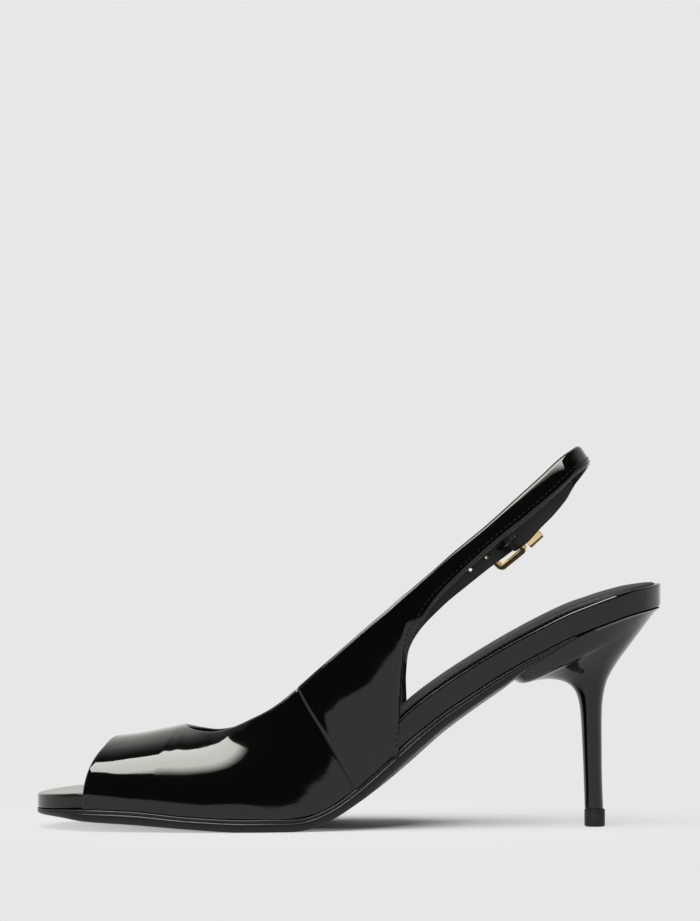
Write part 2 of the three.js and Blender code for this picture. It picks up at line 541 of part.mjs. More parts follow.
// The strap's end goes round the bar and lies back on the strap's inner side
const barRadius = 0.65 * buckleWire;
const foldRadius = barRadius + clearance + wall;
const foldTurns = 6;
const foldTail = [0.98, 0.95, 0.92, 0.88, 0.82, 0.75, 0.68, 0.62];
function foldRibs(outer) {
  const last = outer.length - 1;
  const { down, out } = strapFrame(outer, last);
  const ribs = [];
  for (let k = 1; k <= foldTurns; k += 1) {
    const angle = (Math.PI * k) / foldTurns;
    ribs.push(outer[last].map((point) => point.clone()
      .addScaledVector(down, foldRadius * Math.sin(angle))
      .addScaledVector(out, -foldRadius * (1 - Math.cos(angle)))));
  }
  const step = foldLength / foldTail.length;
  let at = last;
  foldTail.forEach((share, k) => {
    const travelled = (k + 1) * step;
    let reached = 0;
    at = last;
    while (reached < travelled) {
      reached += outer[at][0].distanceTo(outer[at - 1][0]);
      at -= 1;
    }
    const overshoot = (reached - travelled) / outer[at][0].distanceTo(outer[at + 1][0]);
    const frame = strapFrame(outer, at + 1);
    ribs.push(outer[at].map((point, j) => point.clone().lerp(outer[at + 1][j], overshoot)
      .addScaledVector(frame.out, -2 * foldRadius * share)));
  });
  return ribs;
}

// One half of the upper as a grid of outer points, and its inner points a wall further in.
// Behind the seam the outer points stand a step prouder, which fades out up the straps
function upperHalf(footRows, strapRows, sideSign) {
  const rows = [
    ...vampRows.map((row) => footRib(row, sideSign, true)),
    ...footRows.map((row) => footRib(row, sideSign, false)),
    ...strapRows.map((row) => strapRib(row, sideSign)),
  ];
  const places = [...placesTo(rows.length - 1), seamRow + seamRun].toSorted((a, b) => a - b);
  const ribs = fillRibs(rows, places);
  const ridge = fillRibs(rows.slice(0, vampRows.length), placesTo(throatRow)).map((rib) => rib.top);
  const throat = ridge.length - 1;
  const lastFootRow = vampRows.length + footRows.length - 1;
  const footEnd = places.indexOf(lastFootRow) + 1;
  ridge.forEach((top, i) => {
    ribs[i].top = top.setY(0);
  });
  const outer = ribs.map((rib) => stopShares.map((v) => ribPoint(rib, v, sideSign)));
  if (sideSign < 0) outer.push(...foldRibs(outer));
  const inner = outer.map((rib, i) => rib.map((point, j) => {
    const ahead = outer[Math.min(i + 1, outer.length - 1)][j];
    const behind = outer[Math.max(i - 1, 0)][j];
    const above = rib[Math.min(j + 1, rib.length - 1)];
    const below = rib[Math.max(j - 1, 0)];
    const normal = new THREE.Vector3().crossVectors(ahead.clone().sub(behind), above.clone().sub(below));
    if (sideSign > 0) normal.negate();
    if (j === rib.length - 1 && i <= throat) {
      const run = ridge[Math.min(i + 1, throat)].clone().sub(ridge[Math.max(i - 1, 0)]);
      normal.set(-run.z, 0, run.x);
    }
    if (j === 0 && i < footEnd) {
      const flat = point.clone().addScaledVector(normal.setZ(0).normalize(), -wall);
      return flat.setZ(Math.max(point.z, upperLow(alongOf(flat.x))));
    }
    return point.clone().addScaledVector(normal.normalize(), -wall);
  }));
  places.forEach((place, i) => {
    const step = place > seamRow ? seamStep : 0;
    const proud = step * (1 - THREE.MathUtils.smoothstep(place, lastFootRow + 1, lastFootRow + 4));
    outer[i].forEach((point, j) => point.addScaledVector(point.clone().sub(inner[i][j]), proud / wall));
  });
  return { outer, inner };
}

const innerHalf = upperHalf(innerRows, innerStrapRows, -1);
const outerHalf = upperHalf(outerRows, outerStrapRows, 1);
const slingEnd = innerHalf.outer.length - 1 - foldTurns - foldTail.length;
const bar = strapFrame(innerHalf.outer, slingEnd);
bar.centre = bar.origin.clone().addScaledVector(bar.out, -foldRadius);
const sagging = bar.down.clone().multiplyScalar(Math.cos(buckleSag))
  .addScaledVector(bar.across, -Math.sin(buckleSag));
const forward = sagging.clone().multiplyScalar(Math.cos(buckleTilt))
  .addScaledVector(bar.out, Math.sin(buckleTilt));
const offFrame = bar.out.clone().multiplyScalar(Math.cos(buckleTilt))
  .addScaledVector(sagging, -Math.sin(buckleTilt));

// A round wire along a path, with flat ends
function wire(points, radius, sides) {
  const path = new THREE.CatmullRomCurve3(points, false, 'centripetal');
  const section = new THREE.Shape(Array.from({ length: sides }, (unused, i) => {
    const angle = (2 * Math.PI * i) / sides;
    return new THREE.Vector2(Math.cos(angle) * radius, Math.sin(angle) * radius);
  }));
  return new THREE.ExtrudeGeometry(section, { steps: 16, extrudePath: path, curveSegments: 1 });
}

// The prong: hooked round the bar, out through the holed strap and over the front rail
const prongRing = barRadius + clearance + prongWire / 2;
const frontRail = buckleLength - buckleWire;
function prongPath(past) {
  const tip = bar.centre.clone().addScaledVector(forward, frontRail + past)
    .addScaledVector(offFrame, buckleWire / 2 + 4 * clearance + prongWire / 2);
  const hook = [-150, -125, -100, -78, -60].map((degrees) => {
    const angle = THREE.MathUtils.degToRad(degrees);
    return bar.centre.clone().addScaledVector(bar.down, prongRing * Math.cos(angle))
      .addScaledVector(bar.out, prongRing * Math.sin(angle));
  });
  const leave = hook.at(-1);
  return [...hook, leave.clone().lerp(tip, 0.3), leave.clone().lerp(tip, 0.65), tip];
}
const prongPast = 1.2;
const prong = () => wire(prongPath(prongPast), prongWire / 2, 8);

// Frame: a flat rounded ring, its rear rail is the bar
function roundedRectangle(target, halfX, halfY, radius) {
  target.moveTo(-halfX + radius, -halfY);
  target.lineTo(halfX - radius, -halfY);
  target.absarc(halfX - radius, -halfY + radius, radius, -Math.PI / 2, 0, false);
  target.lineTo(halfX, halfY - radius);
  target.absarc(halfX - radius, halfY - radius, radius, 0, Math.PI / 2, false);
  target.lineTo(-halfX + radius, halfY);
  target.absarc(-halfX + radius, halfY - radius, radius, Math.PI / 2, Math.PI, false);
  target.lineTo(-halfX, -halfY + radius);
  target.absarc(-halfX + radius, -halfY + radius, radius, Math.PI, 1.5 * Math.PI, false);
  return target;
}
const openingCorner = 0.5;
function ring(outerX, outerY, thickness, depth, radius, bevel) {
  const shape = roundedRectangle(new THREE.Shape(), outerX - bevel, outerY - bevel, radius);
  const opening = roundedRectangle(new THREE.Path(), outerX - thickness + bevel, outerY - thickness + bevel,
    openingCorner);
  shape.holes.push(opening);
  const geometry = new THREE.ExtrudeGeometry(shape, {
    depth: depth - 2 * bevel, bevelSize: bevel, bevelThickness: bevel, bevelSegments: 1, curveSegments: 2,
  });
  return geometry.translate(0, 0, bevel - depth / 2);
}
const frameCorner = 1.9;
const frameBevel = 0.5;
function buckleFrame() {
  const geometry = ring(buckleLength / 2, buckleWidth / 2, buckleWire, buckleWire, frameCorner, frameBevel);
  const centre = bar.centre.clone().addScaledVector(forward, frontRail / 2);
  const across = new THREE.Vector3().crossVectors(offFrame, forward);
  return geometry.applyMatrix4(new THREE.Matrix4().makeBasis(forward, across, offFrame).setPosition(centre));
}

// Keeper: a box loop behind the bar, round the sling strap's outer layer and the holed strap
const keeperBehindBar = 3;
const keeperRoomIn = wall + clearance;
const keeperRoomOut = 3.6;
const keeperHang = 1.5;
const keeperForward = 1.1;
const keeperCorner = 0.6;
const keeperBevel = 0.2;
function keeper() {
  const at = strapFrame(innerHalf.outer, slingEnd - keeperBehindBar);
  const halfDeep = (keeperRoomIn + keeperRoomOut) / 2 + keeperWall;
  const halfWide = strapWidth / 2 + keeperPlay + keeperWall;
  const geometry = ring(halfWide, halfDeep, keeperWall, keeperLength, keeperCorner, keeperBevel);
  const centre = at.origin.clone().addScaledVector(at.out, (keeperRoomOut - keeperRoomIn) / 2)
    .addScaledVector(at.across, -keeperHang).addScaledVector(at.down, keeperForward);
  const third = new THREE.Vector3().crossVectors(at.across, at.out);
  return geometry.applyMatrix4(new THREE.Matrix4().makeBasis(at.across, at.out, third).setPosition(centre));
}

// Holes in the holed strap, in a row towards the toe from the one that the prong is in
const holeSides = 12;
function strapHoles() {
  const ribs = outerHalf.outer;
  const prongTip = prongPath(prongPast);
  const start = prongTip.at(-2);
  const centres = ribs.map((rib) => rib[stopsPerRib / 2]);
  const nearest = (target) => centres.reduce((best, point, i) => (
    point.distanceTo(target) < centres[best].distanceTo(target) ? i : best), 0);
  const drills = [];
  for (let k = 1; k <= 2; k += 1) {
    let at = nearest(start);
    let travelled = 0;
    const wanted = holeStart + k * holeSpacing;
    while (travelled < wanted) {
      travelled += centres[at].distanceTo(centres[at - 1]);
      at -= 1;
    }
    const overshoot = (travelled - wanted) / centres[at].distanceTo(centres[at + 1]);
    const place = centres[at].clone().lerp(centres[at + 1], overshoot);
    const drill = new THREE.CylinderGeometry(holeDiameter / 2, holeDiameter / 2, 5 * wall, holeSides);
    drills.push(drill.translate(place.x, place.y, place.z));
  }
  return drills;
}

function upper() {
  const triangles = [];
  const throat = throatRow * ribsPerRow;
  for (const [{ outer, inner }, sideSign] of [[innerHalf, -1], [outerHalf, 1]]) {
    const add = (a, b, c, d) => triangles.push(...(sideSign < 0 ? quad(a, b, c, d) : quad(d, c, b, a)));
    const lastStop = stopsPerRib;
    const lastRib = outer.length - 1;
    for (let i = 0; i < lastRib; i += 1) {
      for (let j = 0; j < lastStop; j += 1) {
        add(outer[i][j], outer[i + 1][j], outer[i + 1][j + 1], outer[i][j + 1]);
        add(inner[i][j + 1], inner[i + 1][j + 1], inner[i + 1][j], inner[i][j]);
      }
      add(inner[i][0], inner[i + 1][0], outer[i + 1][0], outer[i][0]);
      if (i >= throat) {
        add(outer[i][lastStop], outer[i + 1][lastStop], inner[i + 1][lastStop], inner[i][lastStop]);
      }
    }
    for (let j = 0; j < lastStop; j += 1) {
      add(inner[0][j + 1], inner[0][j], outer[0][j], outer[0][j + 1]);
      add(inner[lastRib][j], inner[lastRib][j + 1], outer[lastRib][j + 1], outer[lastRib][j]);
    }
  }
  let body = toManifold(solidOf(triangles));
  body = body.subtract(toManifold(wire(prongPath(prongPast + 1), prongWire / 2 + clearance, 8)));
  for (const drill of strapHoles()) body = body.subtract(toManifold(drill));
  return toGeometry(body);
}

// Stiletto heel: sections between its front and back edges, capped under the sole and at its foot
const heelStops = 32;
const seatWidth = 0.99;
const seatRows = 6;
const heelRound = 0.85;
const lipCurve = tableCurve(lipRows, 'along');
const heelGap = clearance + 0.1;
function heelSeatHeight(x, y) {
  const along = alongOf(x);
  const half = Math.max(halfWidth(x, Math.sign(y) || 1), 1);
  const camber = side('camber', along) * Math.min(Math.abs(y) / half, 1) ** 2;
  return THREE.MathUtils.lerp(treadLine(along), seatLine(along), camber) - heelGap;
}
function heel() {
  const seatFront = xOf(lipRows[0].along);
  const seatBack = xOf(1) - clearance;
  const seatRing = [];
  for (let i = 0; i < heelStops; i += 1) {
    const angle = (2 * Math.PI * i) / heelStops;
    const sideSign = i <= heelStops / 2 ? -1 : 1;
    const x = seatFront + ((seatBack - seatFront) * (1 - Math.cos(angle))) / 2;
    const along = alongOf(x);
    const share = along < soleEnd ? Math.max(0, lipCurve('width', along)) : seatWidth;
    const y = i % (heelStops / 2) === 0 ? 0 : sideSign * halfWidth(x, sideSign) * share;
    seatRing.push(new THREE.Vector3(x, y, heelSeatHeight(x, y)));
  }
  const seatHalf = Math.max(...seatRing.map((point) => Math.abs(point.y)));
  const rings = [seatRing];
  heelRows.forEach((row, k) => {
    const likeSeat = Math.max(0, 1 - k / seatRows);
    const rise = (share) => topPieceHeight + clearance + share * (heelRise + treadThickness - topPieceHeight);
    const front = new THREE.Vector3(xOf(row.front), 0, rise(row.frontRise));
    const back = new THREE.Vector3(xOf(row.back), 0, rise(row.backRise));
    const ring = [];
    for (let i = 0; i < heelStops; i += 1) {
      const angle = (2 * Math.PI * i) / heelStops;
      const share = (1 - Math.cos(angle)) / 2;
      const width = row.half * stemWidth * THREE.MathUtils.lerp(row.nose, 1, share);
      const round = -Math.sign(Math.sin(angle)) * Math.abs(Math.sin(angle)) ** heelRound * width;
      const planned = (seatRing[i].y / seatHalf) * row.half * stemWidth;
      const y = i % (heelStops / 2) === 0 ? 0 : THREE.MathUtils.lerp(round, planned, likeSeat);
      ring.push(new THREE.Vector3().lerpVectors(front, back, share).setY(y));
    }
    rings.push(ring);
  });
  return loft(rings, heelSeatHeight);
}

// Rings of as many points each, first one on top. Each ring's points pair off across y = 0
function loft(rings, capHeight) {
  const triangles = [];
  const count = rings[0].length;
  for (let k = 0; k + 1 < rings.length; k += 1) {
    for (let i = 0; i < count; i += 1) {
      const next = (i + 1) % count;
      triangles.push(...quad(rings[k][i], rings[k + 1][i], rings[k + 1][next], rings[k][next]));
    }
  }
  const cap = (ring, height, flip) => {
    const centre = (i) => {
      const x = ring[i].x;
      return new THREE.Vector3(x, 0, height(x, 0));
    };
    for (let i = 0; i < count; i += 1) {
      const next = (i + 1) % count;
      const face = [ring[i], ring[next], centre(next), centre(i)];
      triangles.push(...(flip ? quad(...face.reverse()) : quad(...face)));
    }
  };
  cap(rings[0], capHeight, false);
  const foot = rings.at(-1);
  cap(foot, () => foot[0].z, true);
  return solidOf(triangles);
}

// Top piece: a D-shaped plate with a small round at its edges
const topPieceAlong = 0.895;
const topPieceSpread = 0.4;
const topPieceRound = 0.4;
function topPiece() {
  const centre = xOf(topPieceAlong);
  const plate = (grow, z) => {
    const ring = [];
    for (let i = 0; i < heelStops; i += 1) {
      const angle = (2 * Math.PI * i) / heelStops;
      const halfLength = topPieceLength / 2 + grow;
      const width = stemWidth / 2 + topPieceSpread + grow;
      const x = centre - Math.cos(angle) * halfLength;
      const y = -Math.sign(Math.sin(angle)) * Math.abs(Math.sin(angle)) ** 0.7 * width;
      ring.push(new THREE.Vector3(x, i % (heelStops / 2) === 0 ? 0 : y, z));
    }
    return ring;
  };
  const rings = [
    plate(-topPieceRound, topPieceHeight), plate(0, topPieceHeight - topPieceRound),
    plate(0, topPieceRound), plate(-topPieceRound, 0),
  ];
  return loft(rings, () => topPieceHeight);
}

const shoe = new THREE.Group();
function add(name, geometry, finish) {
  const mesh = new THREE.Mesh(geometry, new THREE.MeshStandardMaterial(finish));
  mesh.name = name;
  shoe.add(mesh);
}
add('outsole', outsole(), black);
add('footbed', footbed(), black);
add('sock', sock(), dull);
add('upper', upper(), black);
add('heel', heel(), black);
add('top_piece', topPiece(), rubber);
add('buckle_frame', toGeometry(toManifold(buckleFrame())), gold);
add('buckle_prong', toGeometry(toManifold(prong())), gold);
add('keeper', toGeometry(toManifold(keeper())), gold);

export default shoe;
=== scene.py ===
"""Looks of a black patent slingback sandal with an open toe and a slim high heel.

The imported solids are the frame. Each visible piece is built here at a finer pitch from the
same sizes and share tables, dressed, and stands for its solid. Lengths in the classes are
millimetres in the shoe's frame, and the mesh makers turn them into metres.
"""
import json
import logging
import math
from dataclasses import dataclass, field
from enum import Enum
from typing import Iterable, Sequence

import bmesh
import bpy
import numpy as np
from mathutils import Matrix, Vector

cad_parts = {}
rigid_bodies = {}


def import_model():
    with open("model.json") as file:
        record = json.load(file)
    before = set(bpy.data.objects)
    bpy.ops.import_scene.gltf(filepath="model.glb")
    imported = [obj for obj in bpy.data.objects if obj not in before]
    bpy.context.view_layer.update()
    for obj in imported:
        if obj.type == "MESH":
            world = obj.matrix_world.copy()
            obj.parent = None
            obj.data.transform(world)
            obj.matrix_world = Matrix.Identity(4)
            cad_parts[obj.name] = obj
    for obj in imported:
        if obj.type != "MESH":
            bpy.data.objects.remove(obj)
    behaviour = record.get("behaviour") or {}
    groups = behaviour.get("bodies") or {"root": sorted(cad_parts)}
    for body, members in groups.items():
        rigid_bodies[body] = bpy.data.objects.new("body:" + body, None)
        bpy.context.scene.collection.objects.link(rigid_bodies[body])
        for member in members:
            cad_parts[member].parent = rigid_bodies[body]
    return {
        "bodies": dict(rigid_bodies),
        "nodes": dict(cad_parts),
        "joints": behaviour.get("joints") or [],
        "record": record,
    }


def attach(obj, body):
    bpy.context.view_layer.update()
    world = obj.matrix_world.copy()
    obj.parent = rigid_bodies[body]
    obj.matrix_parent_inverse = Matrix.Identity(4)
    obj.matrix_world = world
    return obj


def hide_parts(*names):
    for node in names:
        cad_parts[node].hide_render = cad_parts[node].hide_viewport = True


LOG = logging.getLogger("slingback")
MM = 0.001
Array = np.ndarray
Piece = bpy.types.Object
Node = bpy.types.Node
Socket = bpy.types.NodeSocket
Tree = bpy.types.NodeTree
Material = bpy.types.Material
Color = tuple[float, float, float]
RampStops = tuple[tuple[float, float], ...]


class Side(Enum):
    """Which side of the foot a half of the upper is on, as the sign of Y."""

    INNER = -1
    OUTER = 1


@dataclass(frozen=True)
class ShoeSizes:
    """Driving sizes in millimetres, the same as the solids have."""

    length: float = 224.5
    ball_width: float = 74.0
    ball_from_toe: float = 84.0
    tread_thickness: float = 4.6
    toe_spring: float = 3.2
    heel_rise: float = 74.8
    seat_thickness: float = 9.0
    sock_thickness: float = 2.2
    wall: float = 1.4
    clearance: float = 0.3
    instep_height: float = 36.7
    sling_height: float = 137.0
    strap_width: float = 7.2
    hole_diameter: float = 1.3
    hole_spacing: float = 7.5
    hole_start: float = 1.1
    top_piece_height: float = 6.3
    top_piece_length: float = 7.4
    stem_width: float = 9.0
    buckle_length: float = 15.2
    buckle_width: float = 14.4
    buckle_wire: float = 2.3
    buckle_tilt: float = 0.56
    buckle_sag: float = 0.08
    prong_wire: float = 1.3
    keeper_length: float = 6.4
    keeper_wall: float = 1.0
    fold_length: float = 32.5

    def x_of(self, along: Array | float) -> Array | float:
        """Place along the shoe for a share of its length."""
        return along * self.length - self.ball_from_toe

    def along_of(self, x: Array | float) -> Array | float:
        """Share of the length for a place along the shoe."""
        return (x + self.ball_from_toe) / self.length


# Footbed outline: share of the length, then of the ball width to the inner and outer side
OUTLINE_COLUMNS = ("along", "inner", "outer")
OUTLINE_ROWS = (
    (0.000, 0.045, 0.030), (0.006, 0.170, 0.140), (0.022, 0.275, 0.240), (0.050, 0.365, 0.335),
    (0.085, 0.412, 0.390), (0.140, 0.450, 0.437), (0.220, 0.480, 0.475), (0.310, 0.487, 0.507),
    (0.380, 0.468, 0.511), (0.450, 0.408, 0.478), (0.530, 0.325, 0.412), (0.600, 0.282, 0.360),
    (0.670, 0.272, 0.333), (0.740, 0.292, 0.330), (0.810, 0.330, 0.345), (0.875, 0.345, 0.352),
    (0.930, 0.322, 0.325), (0.970, 0.255, 0.256), (0.992, 0.150, 0.150), (1.000, 0.040, 0.040),
)

# Side view: shares of the toe spring, the heel rise, the tread thickness and the seat
# thickness, the camber of the sole, and how far the sole stands out under the upper
SIDE_COLUMNS = ("along", "spring", "rise", "sole", "board", "camber", "reach")
SIDE_ROWS = (
    (0.00, 0.75, 0.000, 0.38, 0.54, 0.00, 0.00), (0.04, 0.94, 0.000, 0.64, 0.57, 0.00, 0.00),
    (0.08, 1.00, 0.000, 0.93, 0.60, 0.00, 1.00), (0.16, 0.86, 0.000, 1.05, 0.60, 0.00, 1.05),
    (0.24, 0.31, 0.000, 0.97, 0.60, 0.00, 1.05), (0.32, 0.00, 0.000, 1.00, 0.60, 0.00, 1.05),
    (0.37, 0.00, 0.000, 1.00, 0.60, 0.00, 1.05), (0.41, 0.00, 0.000, 1.00, 0.62, 0.00, 1.05),
    (0.44, 0.00, 0.014, 1.06, 0.66, 0.04, 1.05), (0.48, 0.00, 0.070, 1.20, 0.78, 0.10, 1.05),
    (0.52, 0.00, 0.160, 1.48, 0.92, 0.18, 1.05), (0.56, 0.00, 0.266, 1.80, 1.08, 0.26, 1.00),
    (0.60, 0.00, 0.374, 1.95, 1.16, 0.30, 0.20), (0.65, 0.00, 0.493, 1.73, 1.11, 0.32, 0.00),
    (0.70, 0.00, 0.594, 1.52, 1.08, 0.32, 0.00), (0.75, 0.00, 0.690, 1.34, 1.03, 0.32, 0.00),
    (0.80, 0.00, 0.774, 0.66, 1.01, 0.20, 0.00), (0.85, 0.00, 0.851, 0.20, 1.00, 0.00, 0.00),
    (0.88, 0.00, 0.888, 0.04, 0.99, 0.00, 0.00), (0.91, 0.00, 0.922, 0.00, 0.99, 0.00, 0.00),
    (0.95, 0.00, 0.964, 0.00, 0.95, 0.00, 0.00), (1.00, 0.00, 1.000, 0.00, 0.91, 0.00, 0.00),
)

# Ribs of the upper on the footbed: where a rib leaves the feather edge, where it ends, and how
# it arches. height is a share of the instep height on the vamp, of the sling height behind it
FOOT_COLUMNS = ("low", "top", "across", "height", "round", "arch", "square", "bulge")
VAMP_ROWS = (
    (0.080, 0.132, 0.000, 0.891, 1.0, 90, 2.4, 1.5), (0.116, 0.167, 0.000, 0.918, 1.0, 90, 2.4, 1.2),
    (0.152, 0.201, 0.000, 0.957, 1.0, 90, 2.4, 0.9), (0.188, 0.235, 0.000, 1.000, 1.0, 90, 2.4, 0.8),
)
INNER_ROWS = (
    (0.208, 0.239, 0.105, 0.268, 1.00, 82, 2.4, 0.6), (0.232, 0.248, 0.190, 0.264, 0.98, 73, 2.4, 0.6),
    (0.264, 0.262, 0.257, 0.260, 0.95, 65, 2.4, 0.6), (0.305, 0.286, 0.315, 0.259, 0.90, 57, 2.4, 0.7),
    (0.352, 0.312, 0.360, 0.269, 0.80, 50, 2.4, 0.8), (0.404, 0.344, 0.395, 0.291, 0.68, 44, 2.2, 1.0),
    (0.457, 0.381, 0.413, 0.322, 0.56, 39, 2.2, 1.3), (0.510, 0.419, 0.404, 0.370, 0.45, 35, 2.2, 1.5),
    (0.527, 0.448, 0.397, 0.412, 0.38, 33, 2.2, 1.6), (0.541, 0.477, 0.388, 0.453, 0.32, 31, 2.2, 1.7),
    (0.554, 0.505, 0.377, 0.493, 0.26, 29, 2.2, 1.7), (0.566, 0.533, 0.365, 0.533, 0.20, 27, 2.2, 1.6),
    (0.578, 0.560, 0.354, 0.570, 0.14, 25, 2.2, 1.4),
)
OUTER_ROWS = (
    (0.208, 0.239, 0.105, 0.267, 1.00, 82, 2.4, 0.6), (0.232, 0.248, 0.190, 0.262, 0.98, 73, 2.4, 0.6),
    (0.264, 0.263, 0.258, 0.256, 0.95, 65, 2.4, 0.6), (0.305, 0.288, 0.318, 0.250, 0.90, 57, 2.4, 0.7),
    (0.352, 0.314, 0.366, 0.255, 0.80, 50, 2.4, 0.8), (0.404, 0.345, 0.403, 0.269, 0.68, 44, 2.2, 1.0),
    (0.457, 0.378, 0.423, 0.290, 0.56, 39, 2.2, 1.3), (0.510, 0.411, 0.418, 0.322, 0.45, 35, 2.2, 1.5),
    (0.530, 0.442, 0.411, 0.356, 0.38, 33, 2.2, 1.6), (0.547, 0.473, 0.402, 0.399, 0.32, 31, 2.2, 1.6),
    (0.562, 0.504, 0.391, 0.441, 0.26, 29, 2.2, 1.6), (0.577, 0.534, 0.379, 0.482, 0.20, 27, 2.2, 1.4),
    (0.591, 0.563, 0.368, 0.522, 0.14, 25, 2.2, 1.2),
)

# Free ribs of the straps, both ends free: shares of the length, ball width and sling height
STRAP_COLUMNS = ("low_along", "low_across", "low", "along", "across", "height", "bulge")
INNER_STRAP_ROWS = (
    (0.580, 0.318, 0.292, 0.573, 0.346, 0.589, 1.2), (0.582, 0.328, 0.378, 0.586, 0.334, 0.608, 1.0),
    (0.588, 0.336, 0.460, 0.600, 0.324, 0.628, 0.6), (0.605, 0.338, 0.517, 0.615, 0.317, 0.650, 0.4),
    (0.637, 0.335, 0.598, 0.634, 0.311, 0.677, 0.3), (0.686, 0.327, 0.679, 0.668, 0.306, 0.726, 0.3),
    (0.737, 0.319, 0.754, 0.716, 0.297, 0.791, 0.3), (0.787, 0.306, 0.820, 0.764, 0.284, 0.861, 0.3),
    (0.831, 0.286, 0.882, 0.806, 0.264, 0.923, 0.3), (0.862, 0.250, 0.930, 0.838, 0.228, 0.971, 0.3),
    (0.883, 0.165, 0.954, 0.865, 0.148, 0.999, 0.2), (0.889, 0.000, 0.959, 0.872, 0.000, 1.000, 0.0),
    (0.886, -0.150, 0.945, 0.868, -0.135, 0.992, -0.2), (0.868, -0.240, 0.905, 0.850, -0.222, 0.956, -0.3),
    (0.846, -0.278, 0.862, 0.822, -0.262, 0.898, -0.3), (0.827, -0.292, 0.826, 0.802, -0.277, 0.862, -0.3),
    (0.807, -0.298, 0.793, 0.784, -0.284, 0.831, -0.3), (0.788, -0.302, 0.758, 0.766, -0.289, 0.798, -0.2),
    (0.776, -0.303, 0.741, 0.755, -0.291, 0.781, 0.0),
)
OUTER_STRAP_ROWS = (
    (0.593, 0.378, 0.307, 0.578, 0.364, 0.543, 0.9), (0.592, 0.376, 0.380, 0.592, 0.360, 0.562, 0.6),
    (0.598, 0.370, 0.456, 0.606, 0.354, 0.583, 0.4), (0.617, 0.362, 0.515, 0.619, 0.348, 0.601, 0.3),
    (0.653, 0.347, 0.579, 0.632, 0.335, 0.619, 0.3), (0.690, 0.332, 0.630, 0.670, 0.318, 0.670, 0.3),
    (0.729, 0.325, 0.681, 0.709, 0.312, 0.721, 0.3), (0.768, 0.332, 0.729, 0.748, 0.320, 0.769, 0.2),
    (0.804, 0.333, 0.782, 0.781, 0.322, 0.820, 0.1), (0.831, 0.327, 0.831, 0.807, 0.316, 0.868, 0.0),
)

# Heel sections: front and back edge in shares of length and rise, half width in stem widths
HEEL_COLUMNS = ("front", "front_rise", "back", "back_rise", "half", "nose")
HEEL_ROWS = (
    (0.7773, 0.614, 0.9898, 0.966, 2.32, 0.55), (0.7973, 0.627, 0.9782, 0.919, 2.15, 0.52),
    (0.8187, 0.635, 0.9639, 0.858, 1.93, 0.53), (0.8383, 0.629, 0.9488, 0.795, 1.66, 0.57),
    (0.8521, 0.613, 0.9345, 0.735, 1.37, 0.64), (0.8610, 0.588, 0.9225, 0.677, 1.13, 0.71),
    (0.8668, 0.553, 0.9140, 0.621, 0.94, 0.77), (0.8704, 0.506, 0.9085, 0.546, 0.79, 0.81),
    (0.8728, 0.436, 0.9065, 0.457, 0.68, 0.84), (0.8753, 0.293, 0.9065, 0.300, 0.56, 0.88),
    (0.8771, 0.156, 0.9069, 0.156, 0.52, 0.90), (0.8788, 0.000, 0.9087, 0.000, 0.50, 0.90),
)
LIP_COLUMNS = ("along", "width")
LIP_ROWS = (
    (0.765, 0.00), (0.768, 0.34), (0.777, 0.60), (0.795, 0.78), (0.825, 0.90), (0.862, 0.985),
)


def cubic(start: Array, end: Array, leave: Array, arrive: Array, t: Array) -> Array:
    """Cubic from start to end with a slope at each, for t from 0 to 1."""
    return (start * (2 * t**3 - 3 * t**2 + 1) + leave * (t**3 - 2 * t**2 + t)
            + end * (3 * t**2 - 2 * t**3) + arrive * (t**3 - t**2))


def lerp(start: Array | float, end: Array | float, share: Array | float) -> Array | float:
    """The mix of two values."""
    return start + (end - start) * share


def unit(vectors: Array) -> Array:
    """The vectors at length 1, along the last axis."""
    return vectors / np.maximum(np.linalg.norm(vectors, axis=-1, keepdims=True), 1e-12)


def smooth_step(low: float, high: float, place: Array) -> Array:
    """0 below low, 1 above high, with a smooth rise between them."""
    t = np.clip((place - low) / (high - low), 0.0, 1.0)
    return t * t * (3.0 - 2.0 * t)


def through(values: Array, places: Array) -> Array:
    """Smooth curve through numbered rows.

    Args:
        values: one row of values for each number.
        places: numbers with fractions, in rising order or not.

    Returns:
        The values at the places.
    """
    count = len(values)
    row = np.clip(np.floor(places + 1e-9).astype(int), 0, count - 2)
    shape = (-1,) + (1,) * (values.ndim - 1)
    start, end = values[row], values[row + 1]
    leave = (end - values[np.maximum(row - 1, 0)]) / np.where(row > 0, 2, 1).reshape(shape)
    arrive = (values[np.minimum(row + 2, count - 1)] - start) / np.where(row + 2 < count, 2, 1).reshape(shape)
    return cubic(start, end, leave, arrive, (places - row).reshape(shape))


def closed_spline(knots: Array, shares: Array) -> Array:
    """Closed centripetal spline through the knots.

    Args:
        knots: the points that it passes, in order.
        shares: places on it from 0 to 1, a whole knot apart at equal steps.

    Returns:
        The points at the places.
    """
    count = len(knots)
    place = shares * count
    row = np.floor(place).astype(int)
    before, start, end, after = (knots[(row + k) % count] for k in (-1, 0, 1, 2))
    chords = ((before, start), (start, end), (end, after))
    d0, d1, d2 = (np.sqrt(np.linalg.norm(b - a, axis=1))[:, None] for a, b in chords)
    leave = ((start - before) / d0 - (end - before) / (d0 + d1) + (end - start) / d1) * d1
    arrive = ((end - start) / d1 - (after - start) / (d1 + d2) + (after - end) / d2) * d1
    return cubic(start, end, leave, arrive, (place - row)[:, None])


